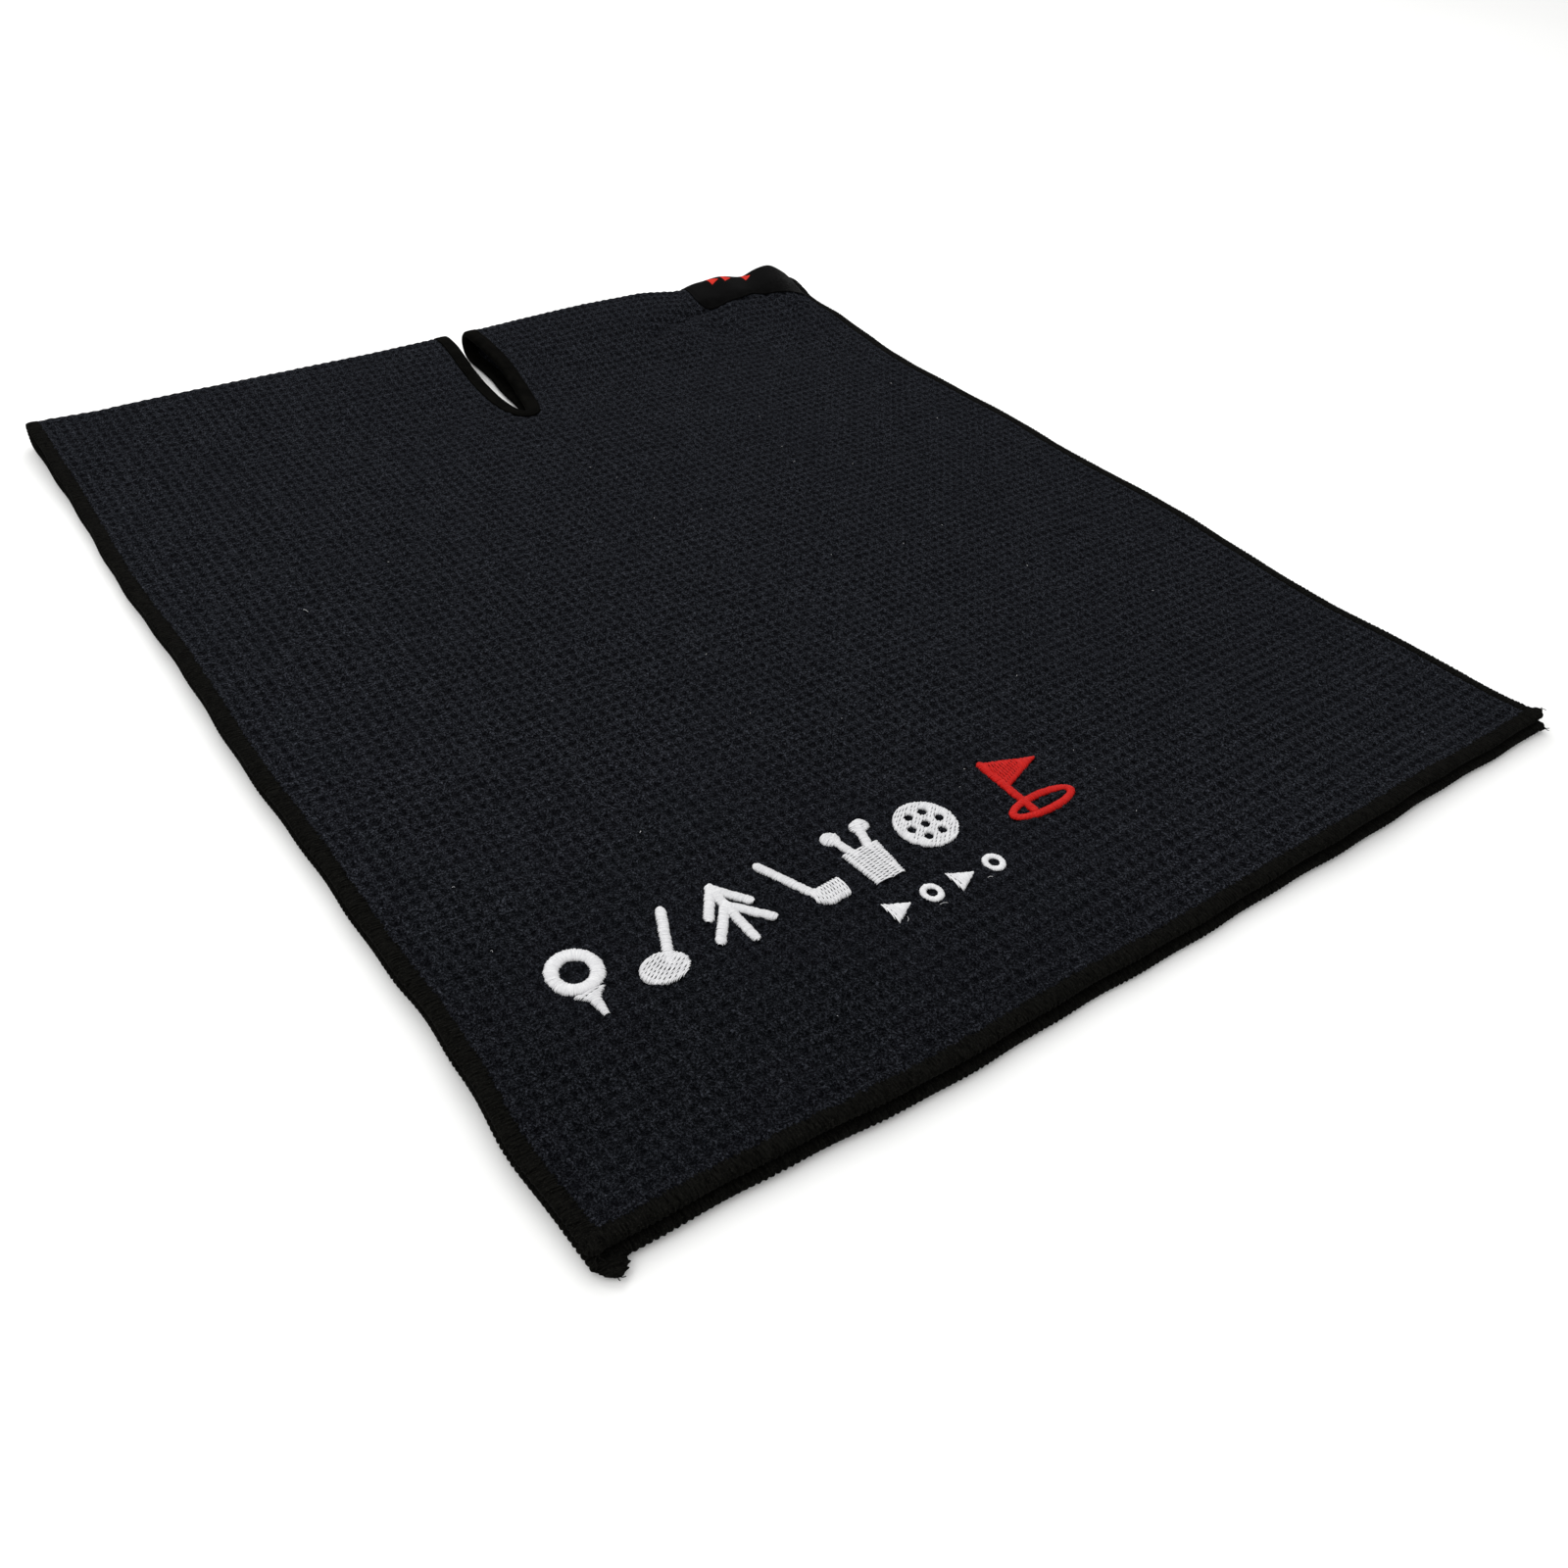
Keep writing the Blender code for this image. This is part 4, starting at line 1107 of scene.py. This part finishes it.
def make_bobbin(name, stitches, node, material):
    """Bobbin threads, which show along the middle of a picture's strokes, behind the backing."""
    ends, origin = stitch_ends(stitches, node)
    x, s = along_stitches(ends + origin, (0.30, 0.36, 0.64, 0.70))
    paths = place(x, s, -(HALF + np.array([[0.20, 0.32, 0.32, 0.20]]) * MM))
    radius = np.full(x.shape, BOBBIN_RADIUS)
    piece = tubes(name, paths, radius, radius * 0.6, 5)
    return finish_piece(piece, material, "thread_white", "upper_half")


def make_picture(name, stitches, node, material, slot, rise):
    """One picture's threads, lying over the cloth where the CAD node is."""
    ends, origin = stitch_ends(stitches, node)
    jitter = random.uniform(-1, 1, ends.shape)
    direction = ends[:, 1] - ends[:, 0]
    length = np.linalg.norm(direction, axis=1, keepdims=True)
    direction /= length
    reach = random.uniform(*STITCH_REACH, (len(ends), 2, 1)) * np.clip(length / 4, 0.3, 1)[:, None]
    ends[:, 0] -= direction * reach[:, 0]
    ends[:, 1] += direction * reach[:, 1]
    x, s = along_stitches(ends + STITCH_STRAY * jitter + origin, (0.0, 0.12, 0.35, 0.65, 0.88, 1.0))
    arch = np.array([[-0.35, 0.55, 0.98, 0.98, 0.55, -0.35]])
    height = rise * (0.72 + 0.28 * np.clip(length / 4, 0, 1)) * arch
    height = height + random.uniform(*STITCH_UNEVEN, (len(ends), 1)) * MM
    paths = place(x, s, UPPER_FACE + height)
    profile = np.array([[0.55, 0.95, 1.0, 1.0, 0.95, 0.55]])
    width = random.uniform(*STITCH_HALF, (len(ends), 1)) * MM * profile
    piece = tubes(name, paths, width, width * 0.85, 6)
    return finish_piece(piece, material, slot, "upper_half", stands_for=(node,))


def make_embroidery(white, red):
    """The white row, the red flag and the small white row."""
    shapes = pictures()
    made, bobbins = [], []
    plan = [(key, f"embroidery_{key}", white, "thread_white", LARGE_RISE) for key in list(shapes)[:6]]
    plan.append(("pin_flag", "embroidery_pin_flag", red, "thread_red", LARGE_RISE))
    for i in range(4):
        key = ("small_pennant", "small_ball")[i % 2]
        plan.append((key, f"embroidery_{key}_{i // 2 + 1}", white, "thread_white", SMALL_RISE))
    for key, node, material, slot, rise in plan:
        name = node.replace("embroidery", "stitched")
        made.append(make_picture(name, shapes[key], node, material, slot, rise))
        name = node.replace("embroidery", "bobbin")
        bobbins.append(make_bobbin(name, shapes[key], node, white))
    return made, bobbins


def make_lint(material):
    """A few specks and hairs of lint, and the cut thread ends beside the small row."""
    count = 34
    steps = np.linspace(0, 1, 7)
    length = random.uniform(0.3, 1.1, count) * MM
    length[:4] = (2.4 * MM, 3.2 * MM, 2.0 * MM, 2.8 * MM)
    x = random.uniform(LEFT + 14 * MM, RIGHT - 24 * MM, count)
    s = random.uniform(S_RIDGE + 76 * MM, S_END - 10 * MM, count)
    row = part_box("embroidery_small_pennant_1")[0]
    x[:3] = row.x + np.array([2.0, 18.0, 37.0]) * MM
    s[:3] = S_RIDGE + RIDGE_Y - row.y + np.array([1.0, 1.6, 0.6]) * MM
    heading = random.uniform(0, 2 * np.pi, count)[:, None] + steps * random.uniform(-2, 2, (count, 1))
    px = x[:, None] + np.cumsum(np.cos(heading), 1) * length[:, None] / len(steps)
    ps = s[:, None] + np.cumsum(np.sin(heading), 1) * length[:, None] / len(steps)
    paths = place(px, ps, HALF + 0.05 * MM + 0.25 * MM * np.sin(steps * np.pi))
    radius = np.repeat(random.uniform(0.035, 0.075, (count, 1)), len(steps), 1) * MM
    lint = tubes("lint", paths, radius, radius, 5)
    return finish_piece(lint, material, None, "upper_half")


def make_backing(material):
    """Thin non-woven backing under the embroidery."""
    low_corner, high_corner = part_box("embroidery_backing")
    x, y = np.meshgrid(
        np.linspace(low_corner.x, high_corner.x, 90),
        np.linspace(high_corner.y, low_corner.y, 30),
    )
    face = -(HALF + 0.06 * MM) + 0.03 * MM * np.sin(x / (3 * MM)) * np.sin(y / (4 * MM))
    piece = thin_sheet("backing", x, S_RIDGE + RIDGE_Y - y, face, 0.2 * MM, along=y)
    return finish_piece(piece, material, "backing", "upper_half", stands_for=("embroidery_backing",))


# ---- camera, light and floor


FLOOR = 6.0  # half of its side
SURROUND = 0.86  # strength of the white light from all round


def make_camera():
    """The camera, as fitted to the towel's corners in the photograph."""
    camera = bpy.data.objects.new("camera", bpy.data.cameras.new("camera"))
    camera.location = (-0.28585, -0.37437, 0.29132)
    camera.rotation_euler = (0.871649, -0.0824795, -0.637756)
    camera.data.lens = 32.01
    camera.data.sensor_width = 36.0
    camera.data.clip_start = 0.01
    bpy.context.scene.collection.objects.link(camera)
    bpy.context.scene.camera = camera


def make_light(name, at, size, power):
    """A square soft box that looks at the middle of the floor."""
    data = bpy.data.lights.new(name, "AREA")
    data.size = size
    data.energy = power
    lamp = bpy.data.objects.new(name, data)
    lamp.location = at
    x, y, z = at
    lamp.rotation_euler = (math.atan2(math.hypot(x, y), z), 0.0, math.atan2(-y, -x) - math.pi / 2)
    bpy.context.scene.collection.objects.link(lamp)


def make_stage():
    """A white floor, a white surround and two soft boxes."""
    points = [(-FLOOR, -FLOOR, 0), (FLOOR, -FLOOR, 0), (FLOOR, FLOOR, 0), (-FLOOR, FLOOR, 0)]
    floor = new_piece("floor", points, [(0, 1, 2, 3)])
    floor.data.materials.append(floor_material())
    world = bpy.data.worlds.new("studio")
    world.use_nodes = True
    light = world.node_tree.nodes["Background"].inputs
    light["Color"].default_value = (1.0, 1.0, 1.0, 1.0)
    light["Strength"].default_value = SURROUND
    bpy.context.scene.world = world
    bpy.context.scene.view_settings.view_transform = "Standard"
    make_light("soft_box_back", (0.3, 1.1, 1.3), 1.2, 14.0)
    make_light("soft_box_side", (-1.2, 0.2, 1.2), 1.0, 6.0)


# ---- making

make_camera()
make_stage()

cloth = cloth_material()
black_thread = thread_material(
    "overlock_thread",
    low=(0.0006, 0.0006, 0.0005),
    high=(0.0062, 0.0061, 0.0052),
    roughness=0.85,
    grain=(2.4, 0.35, 0.0),
    specks=0.9,
)
tape = satin_material("binding_tape", (0.0008, 0.0008, 0.0006), (0.0030, 0.0029, 0.0024), 0.75)
satin = satin_material(
    "label_satin",
    low=(0.0010, 0.0010, 0.0010),
    high=(0.0028, 0.0028, 0.0028),
    roughness=0.62,
    shine=0.008,
    worn_from=176.0,
)
red_print = satin_material("label_print", (0.42, 0.020, 0.014), (0.56, 0.030, 0.020), 0.5)
white_thread = thread_material(
    "white_thread", (0.60, 0.60, 0.62), (0.88, 0.88, 0.88), 0.45, (0.35, 5.0, 1.0), shine=0.35
)
red_thread = thread_material(
    "red_thread", (0.40, 0.005, 0.004), (0.66, 0.014, 0.009), 0.5, (0.35, 5.0, 1.0), shine=0.12
)
non_woven = thread_material(
    "non_woven_backing", (0.020, 0.020, 0.023), (0.055, 0.055, 0.060), 0.9, (0.8, 0.8, 1.0)
)

cloth_lower, cloth_upper = make_cloth(cloth)
edgings = make_edging(black_thread)
for tail in TAILS:
    edgings += make_tail(black_thread, *tail)
bindings = make_binding(tape)
label, pennants = make_label(satin, red_print)
stitched, bobbins = make_embroidery(white_thread, red_thread)
backing = make_backing(non_woven)
lint = make_lint(white_thread)

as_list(pennants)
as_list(bobbins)
